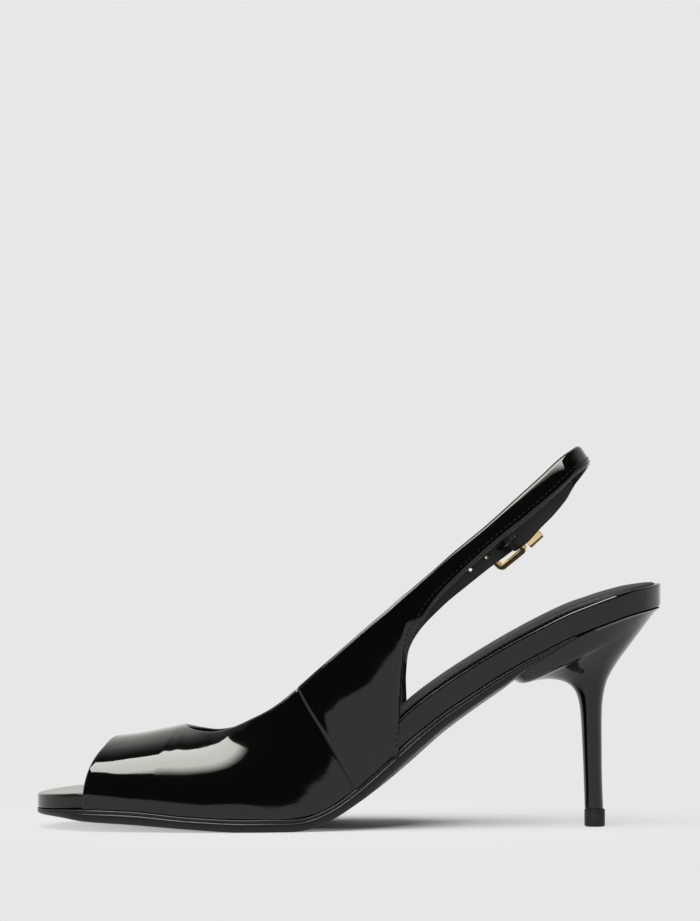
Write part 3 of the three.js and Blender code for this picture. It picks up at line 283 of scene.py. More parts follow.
class ShareTable:
    """A table of shares with named columns, read along smooth curves through its rows."""

    def __init__(self, columns: Sequence[str], rows: Iterable[Sequence[float]]) -> None:
        """Keeps the rows by column name.

        Args:
            columns: the columns' names, the key column first.
            rows: the table's rows.
        """
        self.columns = {name: np.array(values, float) for name, values in zip(columns, zip(*rows))}
        self.key = self.columns[columns[0]]

    def at(self, name: str, place: Array | float) -> Array:
        """One column at values of the key column, with the slopes of the neighbouring rows.

        Args:
            name: the column to read.
            place: values of the key column.

        Returns:
            The column's values there.
        """
        values = self.columns[name]
        place = np.asarray(place, float)
        count = len(self.key)
        before = np.maximum(np.arange(count) - 1, 0)
        after = np.minimum(np.arange(count) + 1, count - 1)
        slopes = (values[after] - values[before]) / (self.key[after] - self.key[before])
        row = np.clip(np.searchsorted(self.key, place, side="left") - 1, 0, count - 2)
        span = self.key[row + 1] - self.key[row]
        t = np.clip((place - self.key[row]) / span, 0.0, 1.0)
        return cubic(values[row], values[row + 1], slopes[row] * span, slopes[row + 1] * span, t)


class SideLines:
    """The sole's lines in side view, as heights over the floor at a share of the length."""

    def __init__(self, sizes: ShoeSizes) -> None:
        """Keeps the sizes and the table."""
        self.sizes = sizes
        self.table = ShareTable(SIDE_COLUMNS, SIDE_ROWS)

    def seat(self, along: Array) -> Array:
        """The sole's upper face."""
        sizes = self.sizes
        return (sizes.tread_thickness + sizes.toe_spring * self.table.at("spring", along)
                + sizes.heel_rise * self.table.at("rise", along))

    def tread(self, along: Array) -> Array:
        """The sole's lower face, no lower than the floor."""
        thickness = self.sizes.tread_thickness * self.table.at("sole", along)
        return np.maximum(0.0, self.seat(along) - thickness)

    def board_under(self, along: Array) -> Array:
        """The board's lower face, a clearance over the sole."""
        return self.seat(along) + self.sizes.clearance

    def board_top(self, along: Array) -> Array:
        """The board's upper face."""
        return self.board_under(along) + self.sizes.seat_thickness * self.table.at("board", along)


class Outline:
    """The footbed's outline, and the outer face of the upper's feather edge round it."""

    SAMPLES = 1600

    def __init__(self, sizes: ShoeSizes) -> None:
        """Works both lines out from the table.

        Args:
            sizes: the shoe's sizes.
        """
        self.sizes = sizes
        table = ShareTable(OUTLINE_COLUMNS, OUTLINE_ROWS)
        x = sizes.x_of(table.key)
        inner = np.stack([x, -table.columns["inner"] * sizes.ball_width], axis=1)
        outer = np.stack([x, table.columns["outer"] * sizes.ball_width], axis=1)
        self.rows = len(x)
        self.knots = np.concatenate([inner, outer[::-1]])
        self.board = self.points(self.SAMPLES)
        self.feather = self.board - self.inward(self.board) * (sizes.wall + sizes.clearance)

    def points(self, count: int) -> Array:
        """The outline at equal steps, from the inner side of the toe tip to the heel and back."""
        return closed_spline(self.knots, np.arange(count) / count)

    @staticmethod
    def inward(line: Array) -> Array:
        """Unit vectors square to a closed line, to its inside."""
        run = np.roll(line, -1, axis=0) - np.roll(line, 1, axis=0)
        return unit(np.stack([-run[:, 1], run[:, 0]], axis=1))

    def half_width(self, x: Array | float, side: Side, line: Array | None = None) -> Array:
        """Distance from the middle plane to a line on one side.

        Args:
            x: places along the shoe.
            side: the side of the foot.
            line: the board's outline, or another closed line with as many points.

        Returns:
            The half widths there.
        """
        line = self.board if line is None else line
        turned = np.roll(line, -int(np.argmin(line[:, 0])), axis=0)
        back = int(np.argmax(turned[:, 0]))
        inner = turned[: back + 1]
        outer = np.concatenate([turned[back:], turned[:1]])[::-1]
        half = inner if side is Side.INNER else outer
        return np.interp(x, half[:, 0], half[:, 1] * side.value)


class MeshBuilder:
    """Collects grids of points in millimetres and makes one smooth mesh object of them."""

    def __init__(self, name: str) -> None:
        """Starts an empty mesh.

        Args:
            name: the object's name.
        """
        self.name = name
        self.points: list[Array] = []
        self.faces: list[Array] = []
        self.slots: list[Array] = []
        self.count = 0

    def grid(self, points: Array, slot: int = 0, flip: bool = False, closed: bool = False) -> None:
        """Adds a grid of quads.

        Args:
            points: rows by columns by 3.
            slot: the material slot of its faces.
            flip: turns the faces round.
            closed: joins the last row to the first.
        """
        rows, columns = points.shape[:2]
        number = self.count + np.arange(rows * columns).reshape(rows, columns)
        if closed:
            number = np.concatenate([number, number[:1]])
        corners = [number[:-1, :-1], number[1:, :-1], number[1:, 1:], number[:-1, 1:]]
        quads = np.stack(corners[::-1] if flip else corners, axis=-1).reshape(-1, 4)
        self.points.append(points.reshape(-1, 3))
        self.faces.append(quads)
        self.slots.append(np.full(len(quads), slot))
        self.count += rows * columns

    def around(self, rings: Array, flip: bool = False, closed: bool = False) -> None:
        """Adds a grid of rings of points, each joined to its own start."""
        self.grid(np.concatenate([rings, rings[:, :1]], axis=1), flip=flip, closed=closed)

    def build(self, weld: float = 0.002, sharp_degrees: float = 180.0) -> Piece:
        """Makes the object, welds points that lie on each other and drops what has no area.

        Args:
            weld: how near points are joined, in millimetres.
            sharp_degrees: edges over this angle are shaded sharp.

        Returns:
            The new object.
        """
        mesh = bpy.data.meshes.new(self.name)
        mesh.from_pydata((np.concatenate(self.points) * MM).tolist(), [], np.concatenate(self.faces).tolist())
        mesh.polygons.foreach_set("material_index", np.concatenate(self.slots))
        edit = bmesh.new()
        edit.from_mesh(mesh)
        bmesh.ops.remove_doubles(edit, verts=edit.verts, dist=weld * MM)
        bmesh.ops.dissolve_degenerate(edit, edges=edit.edges, dist=0.5 * weld * MM)
        for face in edit.faces:
            face.smooth = True
        edit.to_mesh(mesh)
        edit.free()
        if sharp_degrees < 180.0:
            mesh.set_sharp_from_angle(angle=math.radians(sharp_degrees))
        piece = bpy.data.objects.new(self.name, mesh)
        bpy.context.scene.collection.objects.link(piece)
        return piece


def cut_flat(piece: Piece, x: float, keep_front: bool) -> None:
    """Cuts a piece square across the shoe and closes the cut.

    Args:
        piece: the piece to cut.
        x: place of the cut along the shoe, in millimetres.
        keep_front: keeps what lies towards the toe, or else towards the heel.
    """
    edit = bmesh.new()
    edit.from_mesh(piece.data)
    everything = edit.verts[:] + edit.edges[:] + edit.faces[:]
    cut = bmesh.ops.bisect_plane(edit, geom=everything, plane_co=(x * MM, 0, 0), plane_no=(1, 0, 0),
                                 clear_outer=keep_front, clear_inner=not keep_front)
    edges = [item for item in cut["geom_cut"] if isinstance(item, bmesh.types.BMEdge)]
    bmesh.ops.edgeloop_fill(edit, edges=edges)
    edit.to_mesh(piece.data)
    edit.free()


@dataclass(frozen=True)
class Stop:
    """One point of a slab's edge: inset from the outline, share of its depth, lift over that."""

    inset: float
    share: float
    lift: float = 0.0


def round_edge(radius: float, share: float, steps: int = 5) -> list[Stop]:
    """Stops round a slab's upper edge, or its lower one where share is 0.

    Args:
        radius: the edge's radius in millimetres.
        share: 1 for the upper edge, 0 for the lower.
        steps: stops round the edge, less one.

    Returns:
        The stops, from the underside upwards.
    """
    stops = []
    for step in range(steps + 1):
        angle = math.radians(90.0 * step / steps)
        if share > 0.5:
            stops.append(Stop(radius * (1 - math.cos(angle)), share, radius * (math.sin(angle) - 1)))
        else:
            stops.append(Stop(radius * (1 - math.sin(angle)), share, radius * (1 - math.cos(angle))))
    guard = 0.25 * radius
    if share > 0.5:
        return [Stop(0.0, share, -radius - guard), *stops]
    return [*stops, Stop(0.0, share, radius + guard)]


@dataclass
class Slab:
    """A piece with the footbed's outline, made of ribs from the middle below to the middle above."""

    sizes: ShoeSizes
    outline: Outline
    lines: SideLines
    name: str
    end_room: float = 0.09
    steps_per_row: int = 12

    def under(self, along: Array) -> Array:
        """Height of the lower face at its edge."""
        raise NotImplementedError

    def top(self, along: Array) -> Array:
        """Height of the upper face at its edge."""
        raise NotImplementedError

    def reach(self, along: Array) -> Array:
        """How far the slab stands out of the outline."""
        return np.zeros_like(along)

    def middle_rise(self, along: Array) -> tuple[Array, Array]:
        """Lift of the middle below and above over the two faces."""
        return np.zeros_like(along), np.zeros_like(along)

    def stops(self) -> list[Stop]:
        """The edge's stops, from the underside upwards."""
        raise NotImplementedError

    def height(self, stop: Stop, along: Array) -> Array:
        """Height of a stop at shares of the length."""
        return lerp(self.under(along), self.top(along), stop.share) + stop.lift

    def spine(self, plan: Array) -> Array:
        """The middle line's point for each rib, stopped short of both round ends."""
        count = len(plan)
        last = (self.outline.rows - 1) * self.steps_per_row
        turn = 2 * last + self.steps_per_row
        number = np.arange(count)
        mate = (turn - number) % count
        middle = 0.5 * (plan + plan[mate])
        on_inner = np.where(number <= last, number, mate)
        paired = np.where(on_inner <= last, on_inner, np.where(number > turn, 0, last))
        inner_x = plan[: last + 1, 0]
        front = int(np.argmax(inner_x > self.sizes.x_of(self.end_room)))
        rear = int(np.argmax(inner_x > self.sizes.x_of(1.0 - self.end_room)))
        return middle[np.clip(paired, front, rear)]

    def ribs(self) -> Array:
        """All ribs, round the outline.

        Returns:
            Ribs by stops by 3, in millimetres.
        """
        sizes = self.sizes
        plan = self.outline.points(2 * self.outline.rows * self.steps_per_row)
        inward = self.outline.inward(plan)
        out = self.reach(sizes.along_of(plan[:, 0]))
        centre = self.spine(plan)
        along_centre = sizes.along_of(centre[:, 0])
        rise_under, rise_top = self.middle_rise(along_centre)
        columns = [np.column_stack([centre, self.under(along_centre) + rise_under])]
        for stop in self.stops():
            at = plan + inward * (stop.inset - out)[:, None]
            along = np.clip(sizes.along_of(at[:, 0]), 0.0, 1.0)
            columns.append(np.column_stack([at, self.height(stop, along)]))
        columns.append(np.column_stack([centre, self.top(along_centre) + rise_top]))
        return np.stack(columns, axis=1)

    def build(self) -> Piece:
        """Makes the piece."""
        builder = MeshBuilder(self.name)
        builder.grid(self.ribs(), closed=True)
        return builder.build()


@dataclass
class Footbed(Slab):
    """The insole board wrapped in patent."""

    name: str = "footbed_wrap"
    lower_round: float = 0.6
    upper_round: float = 0.8

    def under(self, along: Array) -> Array:
        """The board's lower face."""
        return self.lines.board_under(along)

    def top(self, along: Array) -> Array:
        """The board's upper face."""
        return self.lines.board_top(along)

    def stops(self) -> list[Stop]:
        """Round edges below and above, and a wide flat top."""
        flat = [Stop(4.0, 1.0), Stop(9.0, 1.0)]
        return [Stop(6.0, 0.0), *round_edge(self.lower_round, 0.0), *round_edge(self.upper_round, 1.0), *flat]


@dataclass
class Outsole(Slab):
    """The outsole with its bead, skived away under the heel."""

    name: str = "outsole_sole"
    end: float = 0.862
    skived_edge: float = 0.6
    groove_depth: float = 0.4
    side_round: float = 0.35

    def under(self, along: Array) -> Array:
        """The tread, a skived edge under the seat line at the least."""
        return np.minimum(self.lines.tread(along), self.lines.seat(along) - self.skived_edge)

    def top(self, along: Array) -> Array:
        """The sole's upper face."""
        return self.lines.seat(along)

    def reach(self, along: Array) -> Array:
        """Stands out under the upper as far as the upper's wall and its clearance."""
        return self.lines.table.at("reach", along) * (self.sizes.wall + self.sizes.clearance)

    def height(self, stop: Stop, along: Array) -> Array:
        """Height of a stop: shares below 0 belong to the cambered tread, the rest to its side."""
        camber = self.lines.table.at("camber", along)
        share = np.where(stop.share < 0, -camber * stop.share, camber + (1 - camber) * stop.share)
        return lerp(self.under(along), self.top(along), share) + stop.lift

    def stops(self) -> list[Stop]:
        """Cambered tread, round lower edge, groove under the bead and the bead itself."""
        tread = [Stop(14.0, -0.16), Stop(9.0, -0.35), Stop(5.0, -0.62), Stop(2.6, -0.85), Stop(1.3, -0.96)]
        corner = [Stop(0.62, 0.04), Stop(0.3, 0.09), Stop(0.1, 0.16), Stop(0.0, 0.25), Stop(0.0, 0.6)]
        groove = [Stop(0.06, 0.655), Stop(self.groove_depth, 0.70), Stop(self.groove_depth, 0.73),
                  Stop(0.08, 0.775)]
        bead = [Stop(0.0, 0.81), Stop(0.0, 0.90), Stop(0.10, 0.95), Stop(self.side_round, 1.0)]
        return [*tread, *corner, *groove, *bead, Stop(3.0, 1.0)]

    def build(self) -> Piece:
        """Makes the sole and cuts its rear end off where the heel's breast covers it."""
        piece = super().build()
        cut_flat(piece, self.sizes.x_of(self.end), keep_front=True)
        return piece


@dataclass
class Sock(Slab):
    """The padded sock on the board, crowned, with a sewn channel round its shoulder."""

    name: str = "sock_pad"
    start: float = 0.1
    inset: float = 2.2
    channel_inset: float = 3.4
    channel_depth: float = 0.35
    crown: float = 0.15
    taper_start: float = 0.78
    seat_share: float = 0.35

    def under(self, along: Array) -> Array:
        """A clearance over the board."""
        return self.lines.board_top(along) + self.sizes.clearance

    def top(self, along: Array) -> Array:
        """The sock's thickness higher, tapered towards the back of the seat."""
        taper = lerp(1.0, self.seat_share, smooth_step(self.taper_start, 1.0, along))
        return self.under(along) + self.sizes.sock_thickness * taper

    def middle_rise(self, along: Array) -> tuple[Array, Array]:
        """The middle of the upper face is crowned."""
        crown = np.full_like(along, self.crown * self.sizes.sock_thickness)
        return np.zeros_like(along), crown

    def stops(self) -> list[Stop]:
        """Round shoulder, sewn channel and crowned top."""
        edge = [Stop(self.inset + stop.inset, stop.share, stop.lift - 0.25) for stop in round_edge(1.3, 1.0)]
        channel = self.inset + self.channel_inset
        thickness = self.sizes.sock_thickness
        return [
            Stop(self.inset, 0.0), *edge, Stop(channel - 1.2, 1.0, -0.12),
            Stop(channel - 0.5, 1.0, -0.16), Stop(channel, 1.0, -0.12 - self.channel_depth),
            Stop(channel + 0.5, 1.0, -0.12), Stop(channel + 1.4, 1.0, 0.02),
            Stop(channel + 3.0, 1.0, 0.06 * thickness), Stop(channel + 8.0, 1.0, 0.12 * thickness),
        ]

    @property
    def channel_stop(self) -> int:
        """Number of the stop at the channel's bottom."""
        return min(range(len(self.stops())), key=lambda k: self.stops()[k].lift)

    def build(self) -> Piece:
        """Makes the sock and cuts its front end off under the vamp."""
        piece = super().build()
        cut_flat(piece, self.sizes.x_of(self.start), keep_front=False)
        return piece


@dataclass(frozen=True)
class StrapFrame:
    """A place on a strap: its middle, and the directions across it, down along it and outwards."""

    origin: Array
    across: Array
    down: Array
    out: Array


class UpperHalf:
    """One half of the upper: ribs from the feather edge or the free rear edge up to the topline.

    Places along it are numbers of table rows, from the toe opening to the strap's end.
    """

    SHAPE = 6
    STRAP_SHAPE = (0.0, 25.0, 2.2)
    LEAD = 1.6

    def __init__(self, sizes: ShoeSizes, lines: SideLines, outline: Outline, side: Side) -> None:
        """Lays the half's rows out.

        Args:
            sizes: the shoe's sizes.
            lines: the sole's lines in side view.
            outline: the footbed's outline and the feather edge.
            side: the side of the foot.
        """
        self.sizes = sizes
        self.lines = lines
        self.side = side
        foot_rows = INNER_ROWS if side is Side.INNER else OUTER_ROWS
        strap_rows = INNER_STRAP_ROWS if side is Side.INNER else OUTER_STRAP_ROWS
        rows = []

        def point(along: float, across: float, height: float) -> tuple[float, float, float]:
            """A point from shares of the length and of the ball width, and a height."""
            return sizes.x_of(along), side.value * across * sizes.ball_width, height

        for row in (*VAMP_ROWS, *foot_rows):
            low, top, across, height, *shape = row
            x = sizes.x_of(low)
            full = sizes.instep_height if len(rows) < len(VAMP_ROWS) else sizes.sling_height
            width = float(outline.half_width(x, side, outline.feather))
            low_point = (x, side.value * width, float(self.low_height(low)))
            rows.append((*low_point, *point(top, across, height * full), *shape))
        for row in strap_rows:
            low_along, low_across, low, along, across, height, bulge = row
            low_point = point(low_along, low_across, low * sizes.sling_height)
            top_point = point(along, across, height * sizes.sling_height)
            rows.append((*low_point, *top_point, *self.STRAP_SHAPE, bulge))
        self.rows = np.array(rows, float)
        self.throat = len(VAMP_ROWS) - 1
        self.foot_end = len(VAMP_ROWS) + len(foot_rows) - 1
        self.strap_end = len(rows) - 1

    def low_height(self, along: Array | float) -> Array:
        """Height of the feather edge over the sole."""
        return self.lines.seat(np.asarray(along)) + self.sizes.clearance

    def ribs(self, places: Array) -> Array:
        """The rows' values at places between them.

        Args:
            places: numbers of rows, with fractions.

        Returns:
            One row each: low point, top point, round, arch, square and bulge.
        """
        values = through(self.rows, places)
        on_ridge = places <= self.throat + 1e-9
        ridge = through(self.rows[: self.throat + 1], np.clip(places, 0, self.throat))
        values[on_ridge, 3:6] = ridge[on_ridge, 3:6]
        values[on_ridge, 4] = 0.0
        return values

    def points(self, places: Array, shares: Array) -> Array:
        """Points of the outer face.

        Args:
            places: numbers of rows, with fractions.
            shares: places up each rib, from 0 at its low end to 1, the same or one row for each rib.

        Returns:
            Ribs by shares by 3, in millimetres.
        """
        ribs = self.ribs(places)[:, None, :]
        low, top = ribs[..., 0:3], ribs[..., 3:6]
        rounded, arch, square, bulge = (ribs[..., self.SHAPE + k] for k in range(4))
        end = np.radians(arch)
        power = 2.0 / square
        v = np.atleast_2d(shares)

        def inwards(angle: Array) -> Array:
            """How far an arch has come in at an angle."""
            return 1 - np.maximum(np.cos(angle), 0.0) ** power

        def upwards(angle: Array) -> Array:
            """How far an arch has come up at an angle."""
            return np.maximum(np.sin(angle), 0.0) ** power

        across = lerp(v, inwards(v * end) / inwards(end), rounded)
        up = lerp(v, upwards(v * end) / upwards(end), rounded)
        lead = lerp(v, 1 - np.maximum(1 - across, 0.0) ** self.LEAD, rounded)
        points = low + (top - low) * np.stack([lead, across, up], axis=-1)
        points[..., 1] += self.side.value * bulge * self.sizes.wall * np.sin(np.pi * v)
        return points

    def frame(self, place: float, step: float = 0.5) -> StrapFrame:
        """The strap's frame at one place.

        Args:
            place: number of the row, with a fraction.
            step: how far back the direction along the strap is taken from.

        Returns:
            The frame, with out pointing to the outer side of the foot.
        """
        ends = self.points(np.array([place - step, place]), np.array([0.0, 1.0]))
        middles = ends.mean(axis=1)
        across = unit(ends[1, 1] - ends[1, 0])
        down = middles[1] - middles[0]
        down = unit(down - across * down.dot(across))
        out = np.cross(across, down)
        return StrapFrame(middles[1], across, down, -out if out[1] < 0 else out)


@dataclass
class UpperShell:
    """The upper: vamp, quarters and straps as one wall with turned edges, and a dull lining."""

    sizes: ShoeSizes
    lines: SideLines
    outline: Outline
    stops: int = 40
    per_row: int = 8
    edge_steps: int = 6
    roll_width: float = 1.1
    roll_depth: float = 0.5
    roll_stops: int = 6
    seam_row: float = 11.0
    seam_step: float = 0.35
    seam_width: float = 0.05
    seam_groove: float = 0.2
    fold_turns: int = 14
    fold_stops: int = 30
    bar_share: float = 0.65
    halves: dict[Side, UpperHalf] = field(init=False)

    # How far the turned end keeps off the strap, at even steps from the bar to its tail
    FOLD_TAIL = (1.0, 0.98, 0.95, 0.92, 0.88, 0.82, 0.75, 0.68, 0.62)

    def __post_init__(self) -> None:
        """Lays both halves out."""
        self.halves = {side: UpperHalf(self.sizes, self.lines, self.outline, side) for side in Side}

    @property
    def bar_radius(self) -> float:
        """Radius that the fold leaves for the bar."""
        return self.bar_share * self.sizes.buckle_wire

    @property
    def fold_radius(self) -> float:
        """Radius of the outer face of the fold round the bar."""
        return self.bar_radius + self.sizes.clearance + self.sizes.wall

    def places(self, half: UpperHalf) -> Array:
        """Places of the ribs, denser at the seam."""
        even = np.arange(half.strap_end * self.per_row + 1) / self.per_row
        seam = self.seam_row + self.seam_width * np.linspace(-2.5, 2.5, 11)
        return np.unique(np.round(np.concatenate([even, seam]), 6))

    def fold(self, half: UpperHalf, outer: Array) -> Array:
        """The sling strap's end, round the bar and back along the strap's inner side.

        Args:
            half: the inner half, which holds the sling strap.
            outer: its outer points.

        Returns:
            More ribs for the same grid.
        """
        frame = half.frame(half.strap_end)
        ribs = []
        for turn in range(1, self.fold_turns + 1):
            angle = math.pi * turn / self.fold_turns
            shift = frame.down * math.sin(angle) - frame.out * (1 - math.cos(angle))
            ribs.append(outer[-1] + shift * self.fold_radius)
        places = self.places(half)
        run = np.linalg.norm(np.diff(outer[:, 0], axis=0), axis=1)
        travelled = np.concatenate([[0.0], np.cumsum(run[::-1])])
        keys = range(len(self.FOLD_TAIL))
        for stop in range(1, self.fold_stops + 1):
            share = stop / self.fold_stops
            back = share * self.sizes.fold_length
            place = float(np.interp(back, travelled, places[::-1]))
            hold = float(np.interp(share * keys[-1], keys, self.FOLD_TAIL))
            base = half.points(np.array([place]), self.shares(half, np.array([place])))[0]
            ribs.append(base - half.frame(place).out * (2 * self.fold_radius * hold))
        return np.concatenate([outer, np.stack(ribs)])

    def shares(self, half: UpperHalf, places: Array) -> Array:
        """Places up each rib, close together where its ends are rolled in."""
        ribs = half.ribs(places)
        length = np.linalg.norm(ribs[:, 3:6] - ribs[:, 0:3], axis=1)[:, None]
        roll = self.roll_width * (1.0 - np.sin(self.roll_angles))[None, :] / length
        first, last = roll[:, :1], 1.0 - roll[:, :1]
        middle = first + (last - first) * np.linspace(0.0, 1.0, self.stops + 1)[None, 1:-1]
        return np.concatenate([roll[:, ::-1], middle, 1.0 - roll], axis=1)

    @property
    def roll_angles(self) -> Array:
        """Angles of the surface's turn at the stops of a rolled edge, from its flat side."""
        return np.radians(np.linspace(0.0, 90.0, self.roll_stops + 1))

    def roll(self, half: UpperHalf, places: Array) -> Array:
        """How far the outer face is drawn in at its rolled edges.

        Args:
            half: the half.
            places: places of the ribs.

        Returns:
            Millimetres for each rib and stop.
        """
        drop = self.roll_depth * (1.0 - np.cos(self.roll_angles))
        total = 2 * len(drop) + self.stops - 1
        inset = np.zeros((len(places), total))
        top = smooth_step(half.throat + 0.05, half.throat + 0.8, places)[:, None]
        low = smooth_step(half.foot_end - 0.1, half.foot_end + 0.3, places)[:, None]
        inset[:, -len(drop):] += top * drop[None, :]
        inset[:, : len(drop)] += low * drop[None, ::-1]
        return inset

    def normals(self, half: UpperHalf, outer: Array, places: Array) -> Array:
        """Unit vectors out of the outer face.

        Args:
            half: the half.
            outer: its outer points, the fold's too.
            places: places of its ribs, without the fold's.

        Returns:
            One vector for each point.
        """
        ahead = np.concatenate([outer[1:], outer[-1:]]) - np.concatenate([outer[:1], outer[:-1]])
        above = (np.concatenate([outer[:, 1:], outer[:, -1:]], axis=1)
                 - np.concatenate([outer[:, :1], outer[:, :-1]], axis=1))
        normal = np.cross(ahead, above) * -half.side.value
        ridge = int(np.searchsorted(places, half.throat + 1e-6))
        run = np.gradient(outer[:ridge, -1], axis=0)
        normal[:ridge, -1] = np.stack([-run[:, 2], np.zeros(ridge), run[:, 0]], axis=1)
        rolled = self.roll_stops + 1
        normal[ridge:, -rolled:] = normal[ridge:, [-rolled - 2]]
        return unit(normal)

    @staticmethod
    def fade(half: UpperHalf, places: Array | float) -> Array:
        """How much of the seam's step is left at places up the strap."""
        return 1.0 - smooth_step(half.foot_end + 1.0, half.foot_end + 4.0, np.asarray(places))

    def proud(self, half: UpperHalf, place: float) -> float:
        """How far the outer face stands out at a place behind the seam."""
        return float(self.seam_step * self.fade(half, place))

    def face(self, half: UpperHalf) -> tuple[Array, Array, Array, Array]:
        """Both faces of one half.

        Args:
            half: the half.

        Returns:
            Outer points, inner points, normals and the places of the ribs before the fold.
        """
        places = self.places(half)
        outer = half.points(places, self.shares(half, places))
        if half.side is Side.INNER:
            outer = self.fold(half, outer)
        normal = self.normals(half, outer, places)
        inner = outer - normal * self.sizes.wall
        on_foot = np.concatenate([places <= half.foot_end, np.zeros(len(outer) - len(places), bool)])
        flat = unit(normal[on_foot, 0] * np.array([1.0, 1.0, 0.0]))
        seated = outer[on_foot, 0] - flat * self.sizes.wall
        lowest = half.low_height(self.sizes.along_of(seated[:, 0]))
        seated[:, 2] = np.maximum(outer[on_foot, 0, 2], lowest)
        inner[on_foot, 0] = seated
        past = places - self.seam_row
        step = self.seam_step * smooth_step(-0.3 * self.seam_width, self.seam_width, past)
        groove = self.seam_groove * np.exp(-((past / self.seam_width) ** 2))
        lift = (step * self.fade(half, places) - groove)[:, None] - self.roll(half, places)
        outer[: len(places)] += normal[: len(places)] * lift[..., None]
        return outer, inner, normal, places

    @staticmethod
    def outward(reach: Array, normal: Array) -> Array:
        """Unit vectors out of an edge, in the surface.

        Args:
            reach: vectors from further in to the edge.
            normal: the surface's normals at the edge.

        Returns:
            One vector for each.
        """
        return unit(reach - normal * (reach * normal).sum(axis=-1, keepdims=True))

    def edge(self, outer: Array, inner: Array, outward: Array) -> Array:
        """A round edge between the two faces.

        Args:
            outer: points of the outer face's edge.
            inner: points of the inner face's edge.
            outward: unit vectors out of the edge.

        Returns:
            Edge points by steps by 3, from the outer face to the inner.
        """
        angle = np.linspace(0.0, math.pi, self.edge_steps + 1)[None, :, None]
        middle = 0.5 * (outer + inner)[:, None]
        half = 0.5 * (outer - inner)[:, None]
        radius = np.linalg.norm(half, axis=-1, keepdims=True)
        return middle + half * np.cos(angle) + outward[:, None] * radius * np.sin(angle)

    def build(self) -> Piece:
        """Makes the upper: slot 0 is the outer face with its edges, 1 the lining, 2 the turned end."""
        builder = MeshBuilder("upper_shell")
        for side, half in self.halves.items():
            outer, inner, normal, places = self.face(half)
            inwards = side is Side.OUTER
            ribs = len(places)
            first_edge = int(np.searchsorted(places, half.throat - 1e-6))
            first_free = int(np.searchsorted(places, half.foot_end - 1e-6))
            builder.grid(outer[:ribs], flip=inwards)
            builder.grid(inner[:ribs], slot=1, flip=not inwards)
            if side is Side.INNER:
                builder.grid(outer[ribs - 1:], slot=2, flip=inwards)
                builder.grid(inner[ribs - 1:], slot=1, flip=not inwards)
            top_out = self.outward(inner[:, -1] - inner[:, -1 - self.roll_stops], normal[:, -1])
            ridge = unit((outer[first_edge, -1] - outer[first_edge - 1, -1]) * np.array([1.0, 0.0, 1.0]))
            turned = smooth_step(half.throat, half.throat + 0.4, places)[first_edge:, None]
            top_out[first_edge:ribs] = unit(lerp(ridge, top_out[first_edge:ribs], turned))
            low_out = self.outward(inner[:, 0] - inner[:, self.roll_stops], normal[:, 0])
            top = self.edge(outer[:, -1], inner[:, -1], top_out)
            low = self.edge(outer[:, 0], inner[:, 0], low_out)
            builder.grid(top[first_edge:], flip=inwards)
            builder.grid(low[first_free:], flip=not inwards)
            builder.grid(np.stack([outer[: first_free + 1, 0], inner[: first_free + 1, 0]], axis=1),
                         flip=not inwards)
            front = self.edge(outer[0], inner[0], unit(outer[0] - outer[1]))
            end = self.edge(outer[-1], inner[-1], unit(outer[-1] - outer[-2]))
            builder.grid(front, flip=inwards)
            builder.grid(end, flip=not inwards)
        return builder.build()


def rounded_rectangle(half_x: float, half_y: float, radius: float, steps: int = 8) -> tuple[Array, Array]:
    """A closed rounded rectangle, anticlockwise.

    Args:
        half_x: half its width.
        half_y: half its height.
        radius: radius of its corners.
        steps: steps round each corner.

    Returns:
        Its points and its unit vectors outwards, two numbers each.
    """
    points, outward = [], []
    for corner, (sign_x, sign_y) in enumerate(((1, 1), (-1, 1), (-1, -1), (1, -1))):
        for step in range(steps + 1):
            angle = math.radians(90.0 * (corner + step / steps))
            normal = (math.cos(angle), math.sin(angle))
            points.append((sign_x * (half_x - radius) + radius * normal[0],
                           sign_y * (half_y - radius) + radius * normal[1]))
            outward.append(normal)
    return np.array(points), np.array(outward)


def rounded_section(half_out: float, half_deep: float, radius: float) -> Array:
    """Section of a flat wire: pairs of a step outwards and a step along the depth."""
    return rounded_rectangle(half_out, half_deep, radius, steps=5)[0]


def swept_ring(path: Array, outward: Array, section: Array, place: Matrix) -> Array:
    """A section carried round a closed flat path.

    Args:
        path: the path's points in its own plane.
        outward: the path's outward vectors.
        section: steps outwards and along the depth.
        place: where the path's plane stands.

    Returns:
        Path points by section points by 3, in the place's frame.
    """
    flat = path[:, None, :] + outward[:, None, :] * section[None, :, :1]
    deep = np.broadcast_to(section[None, :, 1:], (*flat.shape[:2], 1))
    local = np.concatenate([flat, deep], axis=-1)
    turn = np.array(place.to_3x3())
    return local @ turn.T + np.array(place.translation)


def tube(path: Array, radii: Array, sides: int = 20) -> Array:
    """A round wire along an open path, with rounded ends.

    Args:
        path: the path's points.
        radii: the wire's radius at each point.
        sides: points round it.

    Returns:
        Rings by sides by 3, the first and last ring drawn together to a point.
    """
    run = unit(np.gradient(path, axis=0))
    side = unit(np.cross(run[0], (0.31, 0.17, 0.93)))
    rings = []
    angle = np.linspace(0.0, 2 * math.pi, sides, endpoint=False)[:, None]
    for point, direction, radius in zip(path, run, radii):
        side = unit(side - direction * side.dot(direction))
        other = np.cross(direction, side)
        rings.append(point + radius * (side * np.cos(angle) + other * np.sin(angle)))
    ends = []
    for point, direction, radius, ring in ((path[0], -run[0], radii[0], rings[0]),
                                           (path[-1], run[-1], radii[-1], rings[-1])):
        caps = []
        for lift in (25.0, 50.0, 70.0, 89.9):
            bend = math.radians(lift)
            caps.append(point + (ring - point) * math.cos(bend) + direction * radius * math.sin(bend))
        ends.append(caps)
    return np.stack([*ends[0][::-1], *rings, *ends[1]])


